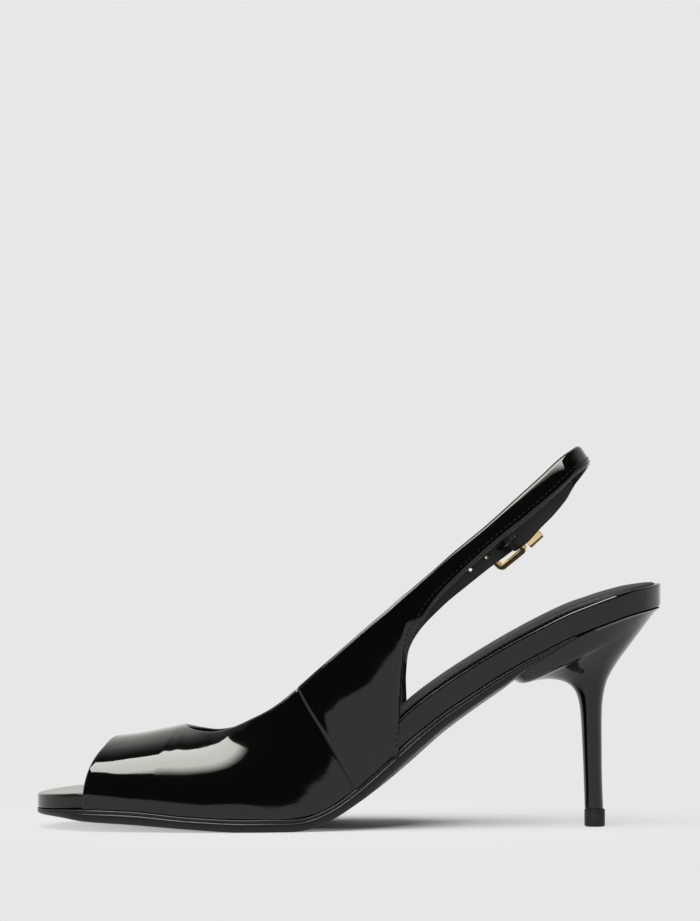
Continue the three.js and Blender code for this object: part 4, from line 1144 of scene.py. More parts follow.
@dataclass
class Fastening:
    """The gold buckle with its prong, and the keeper behind it."""

    sizes: ShoeSizes
    shell: UpperShell
    keeper_rows_behind: float = 1.5
    keeper_room_out: float = 3.6
    keeper_hang: float = 1.5
    keeper_forward: float = 1.1
    keeper_side_room: float = 2.0
    prong_past: float = 1.2
    prong_lift: float = 0.9
    prong_points: int = 60
    prong_tip: float = 0.8
    frame_corner: float = 1.4
    frame_bevel: float = 0.55
    keeper_corner: float = 0.9
    keeper_bevel: float = 0.32
    hook_degrees: tuple[float, ...] = (-150.0, -125.0, -100.0, -78.0, -60.0)

    def __post_init__(self) -> None:
        """Finds the bar's frame and the tilted frame of the buckle."""
        half = self.shell.halves[Side.INNER]
        self.bar = half.frame(half.strap_end)
        self.keeper_at = half.frame(half.strap_end - self.keeper_rows_behind)
        self.centre = self.bar.origin - self.bar.out * self.shell.fold_radius
        tilt, sag = self.sizes.buckle_tilt, self.sizes.buckle_sag
        sagging = self.bar.down * math.cos(sag) - self.bar.across * math.sin(sag)
        self.forward = sagging * math.cos(tilt) + self.bar.out * math.sin(tilt)
        self.off = self.bar.out * math.cos(tilt) - sagging * math.sin(tilt)
        self.front_rail = self.sizes.buckle_length - self.sizes.buckle_wire

    @staticmethod
    def basis(x: Array, y: Array, z: Array, origin: Array) -> Matrix:
        """A matrix from three directions and an origin."""
        matrix = Matrix(np.column_stack([x, y, z]).tolist()).to_4x4()
        matrix.translation = Vector(origin)
        return matrix

    def build_frame(self) -> Piece:
        """The frame: three rails of a softly squared section, and the bar behind."""
        wire = self.sizes.buckle_wire
        centre = self.centre + self.forward * self.front_rail / 2
        across = np.cross(self.off, self.forward)
        place = self.basis(self.forward, across, self.off, centre)
        half_long, half_wide = (self.sizes.buckle_length - wire) / 2, (self.sizes.buckle_width - wire) / 2
        path, outward = rounded_rectangle(half_long, half_wide, self.frame_corner, steps=12)
        section = rounded_section(wire / 2, wire / 2, self.frame_bevel)
        rings = swept_ring(path, outward, section, place)
        builder = MeshBuilder("gold_buckle_frame")
        builder.around(rings, closed=True)
        return builder.build()

    def prong_path(self) -> Array:
        """The prong's middle line: hooked round the bar, then out over the front rail."""
        ring = self.shell.bar_radius + self.sizes.clearance + self.sizes.prong_wire / 2
        over = self.sizes.buckle_wire / 2 + self.sizes.clearance + self.sizes.prong_wire / 2
        over += self.prong_lift
        tip = self.centre + self.forward * (self.front_rail + self.prong_past) + self.off * over
        hook = []
        for degrees in self.hook_degrees:
            angle = math.radians(degrees)
            hook.append(self.centre + self.bar.down * ring * math.cos(angle)
                        + self.bar.out * ring * math.sin(angle))
        knots = np.array([*hook, lerp(hook[-1], tip, 0.3), lerp(hook[-1], tip, 0.65), tip])
        return through(knots, np.linspace(0, len(knots) - 1, self.prong_points))

    def build_prong(self) -> Piece:
        """The prong, a little slimmer towards its tip."""
        path = self.prong_path()
        taper = np.interp(np.linspace(0, 1, len(path)), (0, 0.5, 1), (1, 1, self.prong_tip))
        radii = self.sizes.prong_wire / 2 * taper
        builder = MeshBuilder("gold_prong")
        rings = tube(path, radii)
        builder.around(rings, flip=True)
        return builder.build()

    def build_keeper(self) -> Piece:
        """The keeper: a box loop round the sling strap's outer layer and the holed strap."""
        at, wall = self.keeper_at, self.sizes.keeper_wall
        room_in = self.sizes.wall + self.sizes.clearance
        half_deep = (room_in + self.keeper_room_out) / 2 + wall / 2
        half_wide = self.sizes.strap_width / 2 + self.keeper_side_room + wall / 2
        centre = at.origin + at.out * (self.keeper_room_out - room_in) / 2 - at.across * self.keeper_hang
        centre = centre + at.down * self.keeper_forward
        place = self.basis(at.across, at.out, np.cross(at.across, at.out), centre)
        path, outward = rounded_rectangle(half_wide, half_deep, self.keeper_corner, steps=10)
        section = rounded_section(wall / 2, self.sizes.keeper_length / 2, self.keeper_bevel)
        rings = swept_ring(path, outward, section, place)
        builder = MeshBuilder("gold_keeper")
        builder.around(rings, closed=True)
        return builder.build()


def punch(piece: Piece, cutters: Sequence[Piece]) -> None:
    """Takes the cutters' solids out of a piece and removes them.

    Args:
        piece: the piece to cut.
        cutters: closed solids.
    """
    for cutter in cutters:
        hole = piece.modifiers.new("hole", "BOOLEAN")
        hole.operation = "DIFFERENCE"
        hole.solver = "EXACT"
        hole.object = cutter
    seen = piece.evaluated_get(bpy.context.evaluated_depsgraph_get())
    cut = bpy.data.meshes.new_from_object(seen)
    piece.modifiers.clear()
    old, piece.data = piece.data, cut
    bpy.data.meshes.remove(old)
    for cutter in cutters:
        bpy.data.objects.remove(cutter)


@dataclass
class StrapHoles:
    """The prong's hole and two more in a row towards the toe, through the holed strap."""

    sizes: ShoeSizes
    shell: UpperShell
    fastening: Fastening
    count: int = 2
    depth: float = 3.5
    samples: int = 400
    prong_point: int = 40

    def places(self) -> list[float]:
        """Places of the open holes on the outer half, at the holes' spacing from the prong's."""
        half = self.shell.halves[Side.OUTER]
        places = np.linspace(half.foot_end + 1.0, half.strap_end, self.samples)
        middles = half.points(places, np.array([0.5]))[:, 0]
        prong = self.fastening.prong_path()[self.prong_point]
        nearest = int(np.argmin(np.linalg.norm(middles - prong, axis=1)))
        run = np.concatenate([[0.0], np.cumsum(np.linalg.norm(np.diff(middles, axis=0), axis=1))])
        start = run[nearest] - self.sizes.hole_start
        return [float(np.interp(start - k * self.sizes.hole_spacing, run, places))
                for k in range(1, self.count + 1)]

    def cutters(self) -> list[Piece]:
        """The solids to take out of the upper."""
        half = self.shell.halves[Side.OUTER]
        cutters = []
        for place in self.places():
            middle = half.points(np.array([place]), np.array([0.5]))[0, 0]
            out = half.frame(place).out
            path = middle + np.linspace(-self.depth, self.depth, 3)[:, None] * out
            cutters.append(self.wire("hole_cutter", path, self.sizes.hole_diameter / 2))
        radius = self.sizes.prong_wire / 2 + self.sizes.clearance
        cutters.append(self.wire("prong_cutter", self.fastening.prong_path(), radius))
        return cutters

    @staticmethod
    def wire(name: str, path: Array, radius: float) -> Piece:
        """A round solid along a path."""
        rings = tube(path, np.full(len(path), radius), sides=24)
        builder = MeshBuilder(name)
        builder.around(rings, flip=True)
        return builder.build()


@dataclass
class Stitching:
    """Rows of thread stitches: along the upper's free edge, and round the sock's shoulder."""

    shell: UpperShell
    sock: Sock
    pitch: float = 2.1
    length: float = 1.5
    radius: float = 0.2
    edge_inset: float = 2.0
    sink: float = 0.35
    rings: int = 7
    sides: int = 8
    samples: int = 260
    step: float = 0.02
    first_row: float = -0.6
    last_row: float = -0.2

    def add_row(self, builder: MeshBuilder, path: Array, normals: Array) -> None:
        """Adds one stitch after another along a path.

        Args:
            builder: the mesh that they go to.
            path: points of the row, on the surface.
            normals: the surface's normals there.
        """
        run = np.concatenate([[0.0], np.cumsum(np.linalg.norm(np.diff(path, axis=0), axis=1))])
        profile = np.linspace(-1.0, 1.0, self.rings)
        thick = np.sqrt(1.0 - 0.96 * profile**4)
        turn = np.linspace(0.0, 2 * math.pi, self.sides + 1)
        for start in np.arange(self.pitch, run[-1] - self.pitch, self.pitch):
            stops = start + profile * self.length / 2
            points = np.stack([np.interp(stops, run, path[:, axis]) for axis in range(3)], axis=1)
            up = unit(np.array([np.interp(start, run, normals[:, axis]) for axis in range(3)]))
            side = unit(np.cross(up, points[-1] - points[0]))
            dip = self.sink * self.radius * (0.2 + 2.2 * profile**4)
            middle = points + up * (0.15 * self.radius - dip)[:, None]
            ring = side * np.cos(turn)[:, None] + up * np.sin(turn)[:, None]
            builder.grid(middle[:, None] + ring[None] * (self.radius * thick)[:, None, None], flip=True)

    def edge_row(self, side: Side) -> tuple[Array, Array]:
        """The row beside the free edge: the quarter's rear edge and the strap's lower edge.

        Args:
            side: the side of the foot.

        Returns:
            Points on the outer face and their normals.
        """
        half = self.shell.halves[side]
        first, last = half.foot_end + self.first_row, half.strap_end + self.last_row
        beside = self.step * np.array([-1.0, 0.0, 1.0])
        path, normals = [], []
        for place in np.linspace(first, last, self.samples):
            grid = half.points(place + beside, np.array([0.0, self.step, 1.0]))
            edge = unit(grid[2, 0] - grid[0, 0])
            rib = unit(grid[1, 1] - grid[1, 0])
            square = max(float(np.linalg.norm(np.cross(edge, rib))), 0.3)
            share = self.edge_inset / square / float(np.linalg.norm(grid[1, 2] - grid[1, 0]))
            near = half.points(place + beside, share + beside)
            normal = unit(np.cross(near[2, 1] - near[0, 1], near[1, 2] - near[1, 0])) * -side.value
            path.append(near[1, 1] + normal * self.shell.proud(half, place))
            normals.append(normal)
        return np.array(path), np.array(normals)

    def build_upper_rows(self) -> Piece:
        """Makes the rows on the upper."""
        builder = MeshBuilder("upper_stitches")
        for side in Side:
            self.add_row(builder, *self.edge_row(side))
        return builder.build()

    def build_sock_row(self) -> Piece:
        """Makes the row in the sock's channel."""
        builder = MeshBuilder("sock_stitches")
        ribs = self.sock.ribs()
        channel = self.sock.channel_stop + 1
        path = np.concatenate([ribs[:, channel], ribs[:1, channel]])
        front = self.shell.sizes.x_of(self.sock.start) + self.pitch
        turn = int(np.argmin(path[:, 0]))
        path = np.roll(path[:-1], -turn, axis=0)
        path = path[path[:, 0] > front]
        up = np.tile((0.0, 0.0, 1.0), (len(path), 1))
        self.add_row(builder, path + up * 0.5 * self.sock.channel_depth, up)
        return builder.build()


@dataclass
class Heel:
    """The covered stiletto heel with its lip under the waist, and the top piece at its foot."""

    sizes: ShoeSizes
    outline: Outline
    lines: SideLines
    stops: int = 120
    per_row: int = 6
    cap_steps: int = 16
    seat_width: float = 0.99
    gap: float = 0.25
    waist: float = 0.85
    seat_rows: int = 6
    top_piece_along: float = 0.895
    top_piece_spread: float = 0.4
    top_piece_waist: float = 0.7
    sharp_degrees: float = 50.0

    @property
    def angles(self) -> Array:
        """Angles of the points of one section, from its front round the inner side."""
        return 2 * math.pi * np.arange(self.stops) / self.stops

    def across(self, power: float) -> Array:
        """Shares of the half width of a section's points."""
        sine = np.sin(self.angles)
        return -np.sign(np.round(sine, 9)) * np.abs(sine) ** power

    def half_width(self, x: Array, inner: Array) -> Array:
        """The footbed's half width at places on the inner side, or else on the outer."""
        return np.where(inner, *(self.outline.half_width(x, side) for side in Side))

    def seat_height(self, x: Array, y: Array) -> Array:
        """Height of the heel's seat a gap under the sole or the board."""
        along = self.sizes.along_of(x)
        half = self.half_width(x, y < 0)
        share = np.minimum(np.abs(y) / np.maximum(half, 1.0), 1.0) ** 2
        camber = self.lines.table.at("camber", along) * share
        return lerp(self.lines.tread(along), self.lines.seat(along), camber) - self.gap

    def seat_ring(self) -> Array:
        """The heel's outline under the seat."""
        sizes = self.sizes
        lip = ShareTable(LIP_COLUMNS, LIP_ROWS)
        front, back = sizes.x_of(lip.key[0]), sizes.x_of(1.0) - sizes.clearance
        x = front + (back - front) * (1 - np.cos(self.angles)) / 2
        along = sizes.along_of(x)
        share = np.where(along < lip.key[-1], np.maximum(lip.at("width", along), 0.0), self.seat_width)
        inner = np.sin(self.angles) > 0
        ends = np.abs(np.sin(self.angles)) < 1e-9
        y = np.where(ends, 0.0, np.where(inner, -1.0, 1.0) * self.half_width(x, inner) * share)
        return np.column_stack([x, y, self.seat_height(x, y)])

    def section(self, number: int, seat: Array) -> Array:
        """One section from its table row, at first with the seat's plan shape.

        Args:
            number: number of the row.
            seat: the seat's ring.

        Returns:
            The section's points.
        """
        front, front_rise, back, back_rise, half, nose = HEEL_ROWS[number]
        sizes = self.sizes
        base = sizes.top_piece_height + sizes.clearance
        full = sizes.heel_rise + sizes.tread_thickness - sizes.top_piece_height
        start = np.array([sizes.x_of(front), 0.0, base + front_rise * full])
        end = np.array([sizes.x_of(back), 0.0, base + back_rise * full])
        share = (1 - np.cos(self.angles)) / 2
        points = start + (end - start) * share[:, None]
        rounded = self.across(self.waist) * lerp(nose, 1.0, share)
        planned = seat[:, 1] / np.abs(seat[:, 1]).max()
        like_seat = max(0.0, 1.0 - number / self.seat_rows)
        points[:, 1] = lerp(rounded, planned, like_seat) * half * sizes.stem_width
        return points

    def caps(self, ring: Array, seated: bool) -> Array:
        """Rows of points across a ring, which close it."""
        half = self.stops // 2
        first, second = ring[: half + 1], np.concatenate([ring[:1], ring[: half - 1: -1]])
        share = np.linspace(0.0, 1.0, self.cap_steps + 1)[None, :, None]
        rows = first[:, None] + (second - first)[:, None] * share
        if seated:
            flat = rows.reshape(-1, 3)
            flat[:, 2] = self.seat_height(flat[:, 0], flat[:, 1])
            rows = flat.reshape(rows.shape)
        return rows

    def build(self) -> Piece:
        """Makes the heel."""
        seat = self.seat_ring()
        keys = np.stack([seat, *(self.section(number, seat) for number in range(len(HEEL_ROWS)))])
        rings = through(keys, np.linspace(0, len(keys) - 1, (len(keys) - 1) * self.per_row + 1))
        builder = MeshBuilder("heel_cover")
        builder.around(rings)
        builder.grid(self.caps(rings[0], seated=True), slot=1, flip=True)
        builder.grid(self.caps(rings[-1], seated=False))
        return builder.build(sharp_degrees=self.sharp_degrees)

    def build_top_piece(self) -> Piece:
        """Makes the top piece: a D-shaped plate with worn round edges."""
        sizes = self.sizes
        centre = sizes.x_of(self.top_piece_along)
        height = sizes.top_piece_height
        steps = ((-0.35, height), (-0.1, height - 0.08), (0.0, height - 0.35), (0.0, height - 1.9),
                 (-0.06, height - 2.0), (0.0, height - 2.1), (0.0, 0.6), (-0.12, 0.22), (-0.4, 0.0))
        rings = []
        for grow, z in steps:
            x = centre - np.cos(self.angles) * (sizes.top_piece_length / 2 + grow)
            y = self.across(self.top_piece_waist) * (sizes.stem_width / 2 + self.top_piece_spread + grow)
            rings.append(np.column_stack([x, y, np.full(self.stops, z)]))
        rings = np.stack(rings)
        builder = MeshBuilder("top_lift")
        builder.around(rings)
        builder.grid(self.caps(rings[0], seated=False), flip=True)
        builder.grid(self.caps(rings[-1], seated=False))
        return builder.build(sharp_degrees=self.sharp_degrees)


def grey(level: float) -> Color:
    """A neutral colour."""
    return level, level, level


class NodePad:
    """Adds nodes to a tree by short calls, and links them."""

    def __init__(self, tree: Tree) -> None:
        """Keeps the tree.

        Args:
            tree: a material's, group's or world's node tree.
        """
        self.tree = tree

    def add(self, kind: str, inputs: dict | None = None, **settings: object) -> Node:
        """Adds a node.

        Args:
            kind: the node's type, without its ShaderNode prefix.
            inputs: numbers, colours or sockets by input name or number.
            settings: the node's own settings.

        Returns:
            The node.
        """
        node = self.tree.nodes.new(kind if kind.startswith("Node") else f"ShaderNode{kind}")
        for name, value in settings.items():
            setattr(node, name, value)
        self.fill(node, inputs or {})
        return node

    def fill(self, node: Node, inputs: dict) -> None:
        """Gives a node's inputs their numbers or colours, or links sockets to them.

        Args:
            node: the node.
            inputs: numbers, colours or sockets by input name or number.
        """
        for name, value in inputs.items():
            if isinstance(value, Socket):
                self.tree.links.new(value, node.inputs[name])
            else:
                node.inputs[name].default_value = value

    def group(self, tree: Tree, **values: float) -> Node:
        """Places a group with its own values."""
        return self.add("Group", values, node_tree=tree)

    def blend(self, share: Socket, first: Color, second: Color) -> Socket:
        """The mix of two colours by a mask."""
        inputs = {"Factor": share, 6: (*first, 1.0), 7: (*second, 1.0)}
        return self.add("Mix", inputs, data_type="RGBA").outputs[2]

    def math(self, operation: str, first: object, second: object = 0.0) -> Socket:
        """A sum on two values or sockets."""
        return self.add("Math", {0: first, 1: second}, operation=operation).outputs[0]

    def ramp(self, value: Socket, stops: RampStops) -> Socket:
        """A grey ramp through (position, brightness) stops."""
        node = self.add("ValToRGB", {0: value})
        elements = node.color_ramp.elements
        while len(elements) < len(stops):
            elements.new(0.5)
        for element, (position, shade) in zip(elements, stops):
            element.position = position
            element.color = (shade, shade, shade, 1.0)
        return node.outputs[0]

    def place(self) -> Socket:
        """The surface point in metres in the shoe's frame."""
        return self.add("TexCoord").outputs["Object"]


GroupParts = tuple[Tree, NodePad, Node, Node]


def new_group(name: str, inputs: dict[str, float], outputs: Sequence[str]) -> GroupParts:
    """Starts a shader node group with named number sockets.

    Args:
        name: the group's name.
        inputs: default values by input name.
        outputs: the output names.

    Returns:
        The group, a pad for its nodes, its input node and its output node.
    """
    tree = bpy.data.node_groups.new(name, "ShaderNodeTree")
    for socket, value in inputs.items():
        made = tree.interface.new_socket(socket, in_out="INPUT", socket_type="NodeSocketFloat")
        made.default_value = value
    for socket in outputs:
        tree.interface.new_socket(socket, in_out="OUTPUT", socket_type="NodeSocketFloat")
    pad = NodePad(tree)
    return tree, pad, pad.add("NodeGroupInput"), pad.add("NodeGroupOutput")


class Effects:
    """Shader groups that more than one finish uses, each built once."""

    def __init__(self) -> None:
        """Builds the groups."""
        self.ripple = self.build_ripple()
        self.grain = self.build_grain()
        self.handling = self.build_handling()

    @staticmethod
    def build_ripple() -> Tree:
        """Long soft waves and a fine pull of the film over a surface, as a height from 0 to 1."""
        inputs = {"Wave": 60.0, "Pull": 420.0, "Share": 0.25}
        tree, pad, given, out = new_group("lacquer_ripple", inputs, ["Height"])
        place = pad.place()
        wave = pad.add("TexNoise", {"Vector": place, "Scale": given.outputs["Wave"], "Detail": 1.0})
        pull = pad.add("TexNoise", {"Vector": place, "Scale": given.outputs["Pull"], "Detail": 2.0})
        fine = pad.math("MULTIPLY", pull.outputs["Fac"], given.outputs["Share"])
        tree.links.new(pad.math("ADD", wave.outputs["Fac"], fine), out.inputs["Height"])
        return tree

    @staticmethod
    def build_grain() -> Tree:
        """Pebbled grain of leather or moulded rubber: its height, and a mask of its valleys."""
        inputs = {"Scale": 1600.0, "Mottle": 90.0}
        tree, pad, given, out = new_group("pebble_grain", inputs, ["Height", "Mottle"])
        place = pad.place()
        warp = pad.add("TexNoise", {"Vector": place, "Scale": given.outputs["Scale"], "Detail": 2.0})
        cells = pad.add("TexVoronoi", {"Vector": place, "Scale": given.outputs["Scale"], "Randomness": 1.0})
        height = pad.math("ADD", cells.outputs["Distance"], pad.math("MULTIPLY", warp.outputs["Fac"], 0.6))
        tree.links.new(height, out.inputs["Height"])
        mottle = pad.add("TexNoise", {"Vector": place, "Scale": given.outputs["Mottle"], "Detail": 4.0})
        tree.links.new(mottle.outputs["Fac"], out.inputs["Mottle"])
        return tree

    @staticmethod
    def build_handling() -> Tree:
        """Faint marks of handling: streaks and specks of dust, as a mask from 0 to 1."""
        inputs = {"Streaks": 55.0, "Specks": 900.0}
        tree, pad, given, out = new_group("handling_marks", inputs, ["Haze", "Dust"])
        place = pad.place()
        haze = pad.add("TexNoise", {"Vector": place, "Scale": given.outputs["Streaks"], "Detail": 5.0,
                                    "Roughness": 0.65, "Distortion": 0.8})
        tree.links.new(pad.ramp(haze.outputs["Fac"], ((0.48, 0.0), (0.78, 1.0))), out.inputs["Haze"])
        specks = pad.add("TexVoronoi", {"Vector": place, "Scale": given.outputs["Specks"], "Randomness": 1.0})
        dots = pad.ramp(specks.outputs["Distance"], ((0.03, 1.0), (0.07, 0.0)))
        chance = pad.add("SeparateXYZ", {0: specks.outputs["Color"]})
        rare = pad.ramp(chance.outputs[0], ((0.955, 0.0), (0.97, 1.0)))
        tree.links.new(pad.math("MULTIPLY", dots, rare), out.inputs["Dust"])
        return tree


def start_material(name: str) -> tuple[Material, NodePad, Node]:
    """A new node material.

    Args:
        name: its name.

    Returns:
        The material, a pad for its nodes and its Principled BSDF.
    """
    material = bpy.data.materials.new(name)
    material.use_nodes = True
    return material, NodePad(material.node_tree), material.node_tree.nodes["Principled BSDF"]


@dataclass(frozen=True)
class Finish:
    """What the finishes share: marks of handling in the gloss, over a fine relief."""

    name: str
    roughness: float = 0.5
    haze: float = 0.2
    relief: float = 0.00003
    streaks: float = 80.0
    specks: float = 500.0

    def tones(self, pad: NodePad, effects: Effects, marks: Node) -> tuple[dict, Socket]:
        """What a finish has of its own.

        Args:
            pad: the pad for the material's nodes.
            effects: the shared groups.
            marks: the marks of handling.

        Returns:
            The shader's inputs by name, and the height of the relief.
        """
        raise NotImplementedError

    def make(self, effects: Effects) -> Material:
        """Builds the material."""
        material, pad, shader = start_material(self.name)
        marks = pad.group(effects.handling, Streaks=self.streaks, Specks=self.specks)
        inputs, height = self.tones(pad, effects, marks)
        rough = pad.math("ADD", pad.math("MULTIPLY", marks.outputs["Haze"], self.haze), self.roughness)
        bump = pad.add("Bump", {"Height": height, "Distance": self.relief, "Strength": 1.0})
        pad.fill(shader, {**inputs, "Roughness": rough, "Normal": bump.outputs[0]})
        return material


@dataclass(frozen=True)
class Patent(Finish):
    """Black patent: a dark base under a hard gloss film with soft waves, haze and a little dust."""

    roughness: float = 0.06
    haze: float = 0.05
    relief: float = 0.00022
    streaks: float = 50.0
    specks: float = 700.0
    color: Color = (0.0018, 0.0017, 0.0016)
    dust: Color = (0.05, 0.048, 0.045)
    tint: Color = (1.0, 0.985, 0.91)
    wave_scale: float = 45.0
    pull_scale: float = 380.0
    pull_share: float = 0.05
    index: float = 1.5

    def tones(self, pad: NodePad, effects: Effects, marks: Node) -> tuple[dict, Socket]:
        """Black with a little dust on it, and the waves of the film."""
        ripple = pad.group(effects.ripple, Wave=self.wave_scale, Pull=self.pull_scale, Share=self.pull_share)
        base = pad.blend(marks.outputs["Dust"], self.color, self.dust)
        inputs = {"Base Color": base, "IOR": self.index, "Specular Tint": (*self.tint, 1.0)}
        return inputs, ripple.outputs["Height"]


@dataclass(frozen=True)
class DullLeather(Finish):
    """Lining leather, sole stock, rubber or thread: a dull grained surface with mottled tone."""

    dark: Color = (0.008, 0.008, 0.008)
    light: Color = (0.016, 0.016, 0.016)
    grain_scale: float = 1200.0
    mottle_scale: float = 70.0
    shine: float = 0.25

    def tones(self, pad: NodePad, effects: Effects, marks: Node) -> tuple[dict, Socket]:
        """A tone between dark and light, and the grain."""
        grain = pad.group(effects.grain, Scale=self.grain_scale, Mottle=self.mottle_scale)
        base = pad.blend(grain.outputs["Mottle"], self.dark, self.light)
        return {"Base Color": base, "Specular IOR Level": self.shine}, grain.outputs["Height"]


@dataclass(frozen=True)
class Gold(Finish):
    """Polished pale gold plating with faint polishing marks."""

    name: str = "pale_gold"
    roughness: float = 0.16
    haze: float = 0.12
    streaks: float = 400.0
    specks: float = 1500.0
    color: Color = (0.86, 0.67, 0.38)
    wave_scale: float = 300.0
    pull_scale: float = 2500.0
    pull_share: float = 0.3

    def tones(self, pad: NodePad, effects: Effects, marks: Node) -> tuple[dict, Socket]:
        """Metal of one colour, and the marks of polishing."""
        ripple = pad.group(effects.ripple, Wave=self.wave_scale, Pull=self.pull_scale, Share=self.pull_share)
        return {"Base Color": (*self.color, 1.0), "Metallic": 1.0}, ripple.outputs["Height"]


@dataclass
class Studio:
    """Pale floor, soft lights and the camera at the photograph's angle."""

    pale: float = 0.80
    behind: float = 0.7
    dark: float = 0.012
    warm: Color = (1.0, 0.975, 0.93)
    floor_tone: float = 0.567
    floor_middle: tuple[float, float, float] = (0.02, 0.02, 0.0)
    floor_reach: float = 0.25
    floor_points: int = 96
    camera_x: float = 28.6
    camera_height: float = 131.97
    camera_distance: float = 2000.0
    focal_pixels: float = 5540.0
    image_height: float = 921.0
    sensor: float = 36.0
    card_middle: tuple[float, float, float] = (-205.0, -330.0, 1000.0)
    card_width: float = 810.0
    card_turn: float = 20.0
    card_depth: float = 700.0
    card_power: float = 22.9
    edge_depth: float = 100.0
    edge_powers: tuple[float, ...] = (2.5, 1.8, 1.0, 0.4)
    window_from: tuple[float, float, float] = (-0.5, -0.6, 1.0)
    window_spread: float = 65.0
    window_power: float = 5.2

    # Radii of the floor's rings, and how far it is even rather than lit, by the distance
    FLOOR_RINGS = (0.01, 150.0, 400.0, 900.0, 2500.0, 12000.0)
    FLOOR_EVEN = ((0.0, 0.0), (0.12, 0.0), (0.22, 0.4), (0.36, 0.7), (0.6, 0.92), (1.0, 1.0))

    # Brightness of the room by direction: behind the shoe, by height there, to either side
    ROOM_BEHIND = ((0.36, 0.0), (0.60, 1.0))
    ROOM_HEIGHT = ((0.0, 1.0), (0.35, 0.95), (0.7, 1.0), (0.88, 0.4), (0.95, 0.04))
    ROOM_HEEL_SIDE = ((0.6, 0.0), (0.85, 0.8))
    ROOM_TOE_SIDE = ((0.62, 0.0), (0.75, 0.9))
    ROOM_TOE_HEIGHT = ((0.25, 0.0), (0.4, 1.0))

    def build_camera(self) -> None:
        """A level long-lens camera square to the shoe's side."""
        data = bpy.data.cameras.new("camera")
        data.sensor_width = self.sensor
        data.lens = self.focal_pixels * self.sensor / self.image_height
        data.clip_end = 100.0
        camera = bpy.data.objects.new("camera", data)
        camera.location = (self.camera_x * MM, -self.camera_distance * MM, self.camera_height * MM)
        camera.rotation_euler = (math.radians(90.0), 0.0, 0.0)
        bpy.context.scene.collection.objects.link(camera)
        bpy.context.scene.camera = camera

    def build_floor(self) -> None:
        """A pale round floor, lit near the shoe and even further out."""
        builder = MeshBuilder("floor")
        angles = np.linspace(0, 2 * math.pi, self.floor_points, endpoint=False)
        rings = [np.column_stack([radius * np.cos(angles), radius * np.sin(angles), 0.0 * angles])
                 for radius in self.FLOOR_RINGS]
        builder.grid(np.stack(rings).transpose(1, 0, 2)[::-1], closed=True)
        floor = builder.build()
        material, pad, shader = start_material("pale_floor")
        away = pad.add("VectorMath", {0: pad.place(), 1: self.floor_middle}, operation="DISTANCE")
        far = pad.ramp(pad.math("DIVIDE", away.outputs["Value"], self.floor_reach), self.FLOOR_EVEN)
        tone = (*grey(self.floor_tone), 1.0)
        pad.fill(shader, {"Base Color": tone, "Roughness": 0.9, "Specular IOR Level": 0.0})
        glow = pad.add("Emission", {"Color": (*grey(1.0), 1.0), "Strength": self.pale})
        mix = pad.add("MixShader", {0: far, 1: shader.outputs[0], 2: glow.outputs[0]})
        output = material.node_tree.nodes["Material Output"]
        material.node_tree.links.new(mix.outputs[0], output.inputs["Surface"])
        floor.data.materials.append(material)

    def build_world(self) -> None:
        """Pale backdrop behind the shoe, dark room in front of it, even to the camera itself."""
        world = bpy.data.worlds.new("studio")
        world.use_nodes = True
        bpy.context.scene.world = world
        pad = NodePad(world.node_tree)
        direction = pad.add("SeparateXYZ", {0: pad.add("TexCoord").outputs["Generated"]})
        depth = pad.math("ADD", pad.math("MULTIPLY", direction.outputs["Y"], 0.5), 0.5)
        behind = pad.ramp(depth, self.ROOM_BEHIND)
        low = pad.ramp(direction.outputs["Z"], self.ROOM_HEIGHT)
        heel_side = pad.ramp(direction.outputs["X"], self.ROOM_HEEL_SIDE)
        toe_side = pad.ramp(pad.math("MULTIPLY", direction.outputs["X"], -1.0), self.ROOM_TOE_SIDE)
        raised = pad.math("MULTIPLY", toe_side, pad.ramp(direction.outputs["Z"], self.ROOM_TOE_HEIGHT))
        sides = pad.math("MAXIMUM", heel_side, raised)
        open_side = pad.math("MAXIMUM", pad.math("MULTIPLY", behind, low), sides)
        level = pad.math("ADD", pad.math("MULTIPLY", open_side, self.behind), self.dark)
        seen = pad.add("LightPath").outputs["Is Camera Ray"]
        shade = pad.add("Mix", {"Factor": seen, 2: level, 3: self.pale}, data_type="FLOAT")
        tone = pad.blend(seen, self.warm, grey(1.0))
        background = world.node_tree.nodes["Background"]
        pad.fill(background, {"Color": tone, "Strength": shade.outputs[0]})
        bpy.context.scene.view_settings.view_transform = "Standard"

    def add_card(self, name: str, nearer: float, depth: float, power: float) -> None:
        """Adds a strip of the white card overhead, which is seen in gloss alone.

        Args:
            name: its name.
            nearer: how far it lies from the card's middle, towards its near edge.
            depth: its size in that direction.
            power: its power in watts.
        """
        data = bpy.data.lights.new(name, "AREA")
        data.shape = "RECTANGLE"
        data.size, data.size_y = self.card_width * MM, depth * MM
        data.energy = power
        light = bpy.data.objects.new(name, data)
        turn = math.radians(self.card_turn)
        towards = Vector((math.sin(turn), -math.cos(turn), 0.0))
        light.location = (Vector(self.card_middle) + nearer * towards) * MM
        light.rotation_euler = (0.0, 0.0, turn)
        light.visible_diffuse = False
        bpy.context.scene.collection.objects.link(light)

    @staticmethod
    def add_sun(name: str, towards: tuple[float, float, float], spread: float, power: float) -> None:
        """Adds an even, soft light from far away that isn't seen in gloss.

        Args:
            name: its name.
            towards: where it comes from.
            spread: how wide it is, in degrees.
            power: its power in watts for each square metre.
        """
        data = bpy.data.lights.new(name, "SUN")
        data.angle = math.radians(spread)
        data.energy = power
        light = bpy.data.objects.new(name, data)
        light.rotation_euler = (-Vector(towards)).to_track_quat("-Z", "Y").to_euler()
        light.visible_glossy = False
        bpy.context.scene.collection.objects.link(light)

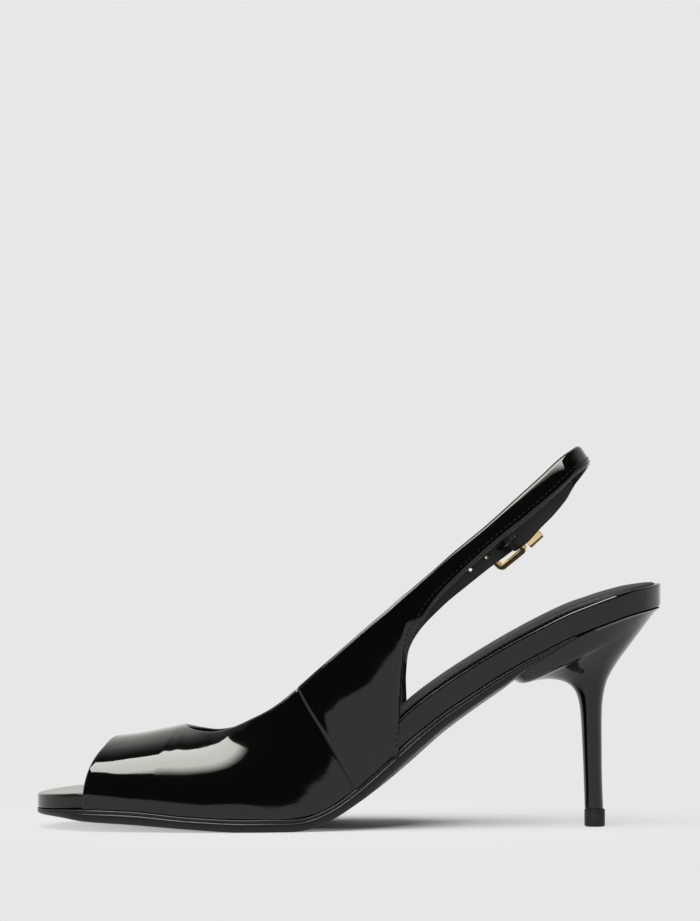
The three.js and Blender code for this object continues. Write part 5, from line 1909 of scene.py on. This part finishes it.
    def build(self) -> None:
        """Builds it all."""
        self.build_camera()
        self.build_floor()
        self.build_world()
        self.add_card("card", 0.0, self.card_depth, self.card_power)
        first = (self.card_depth + self.edge_depth) / 2
        for number, power in enumerate(self.edge_powers):
            self.add_card(f"card_edge_{number}", first + self.edge_depth * number, self.edge_depth, power)
        self.add_sun("window", self.window_from, self.window_spread, self.window_power)


def dress(piece: Piece, materials: Sequence[Material], slot: str, *nodes: str) -> None:
    """Gives a piece its materials and ties it to the frame.

    Args:
        piece: the piece.
        materials: its materials by slot number.
        slot: the record's material slot, not used.
        nodes: the solids that it stands for.
    """
    for material in materials:
        piece.data.materials.append(material)
    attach(piece, "root")
    if nodes:
        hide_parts(*nodes)
    LOG.info("%s: %d faces", piece.name, len(piece.data.polygons))


def main() -> None:
    """Builds the studio and every piece of the shoe."""
    logging.basicConfig(level=logging.INFO, format="%(name)s %(message)s")
    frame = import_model()
    LOG.info("solids in the frame: %s", ", ".join(sorted(frame["nodes"])))
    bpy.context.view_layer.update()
    Studio().build()
    sizes = ShoeSizes()
    lines, outline, effects = SideLines(sizes), Outline(sizes), Effects()
    patent = Patent("black_patent").make(effects)
    cover = Patent("heel_patent", relief=0.0001).make(effects)
    lining = DullLeather("dull_lining", roughness=0.55, relief=0.00004, dark=grey(0.007), light=grey(0.015),
                         grain_scale=1500.0, shine=0.2).make(effects)
    stock = DullLeather("sole_stock", roughness=0.35, dark=(0.004, 0.0035, 0.003),
                        light=(0.008, 0.007, 0.006), grain_scale=900.0, shine=0.38).make(effects)
    rubber = DullLeather("black_rubber").make(effects)
    thread = DullLeather("black_thread", roughness=0.6, relief=0.00002, dark=grey(0.003), light=grey(0.006),
                         grain_scale=2500.0, shine=0.1).make(effects)
    gold = Gold().make(effects)
    shell = UpperShell(sizes, lines, outline)
    fastening = Fastening(sizes, shell)
    upper = shell.build()
    punch(upper, StrapHoles(sizes, shell, fastening).cutters())
    dress(upper, (patent, lining, lining), "patent", "upper")
    dress(Footbed(sizes, outline, lines).build(), (patent,), "patent", "footbed")
    sock_maker = Sock(sizes, outline, lines)
    sock = sock_maker.build()
    dress(sock, (lining,), "lining", "sock")
    stitching = Stitching(shell, sock_maker)
    dress(stitching.build_upper_rows(), (thread,), "patent")
    dress(stitching.build_sock_row(), (thread,), "lining")
    dress(Outsole(sizes, outline, lines).build(), (stock,), "sole", "outsole")
    heel = Heel(sizes, outline, lines)
    dress(heel.build(), (cover, rubber), "heel_cover", "heel")
    dress(heel.build_top_piece(), (rubber,), "rubber", "top_piece")
    dress(fastening.build_frame(), (gold,), "gold", "buckle_frame")
    dress(fastening.build_prong(), (gold,), "gold", "buckle_prong")
    dress(fastening.build_keeper(), (gold,), "gold", "keeper")


if __name__ == "__main__":
    main()
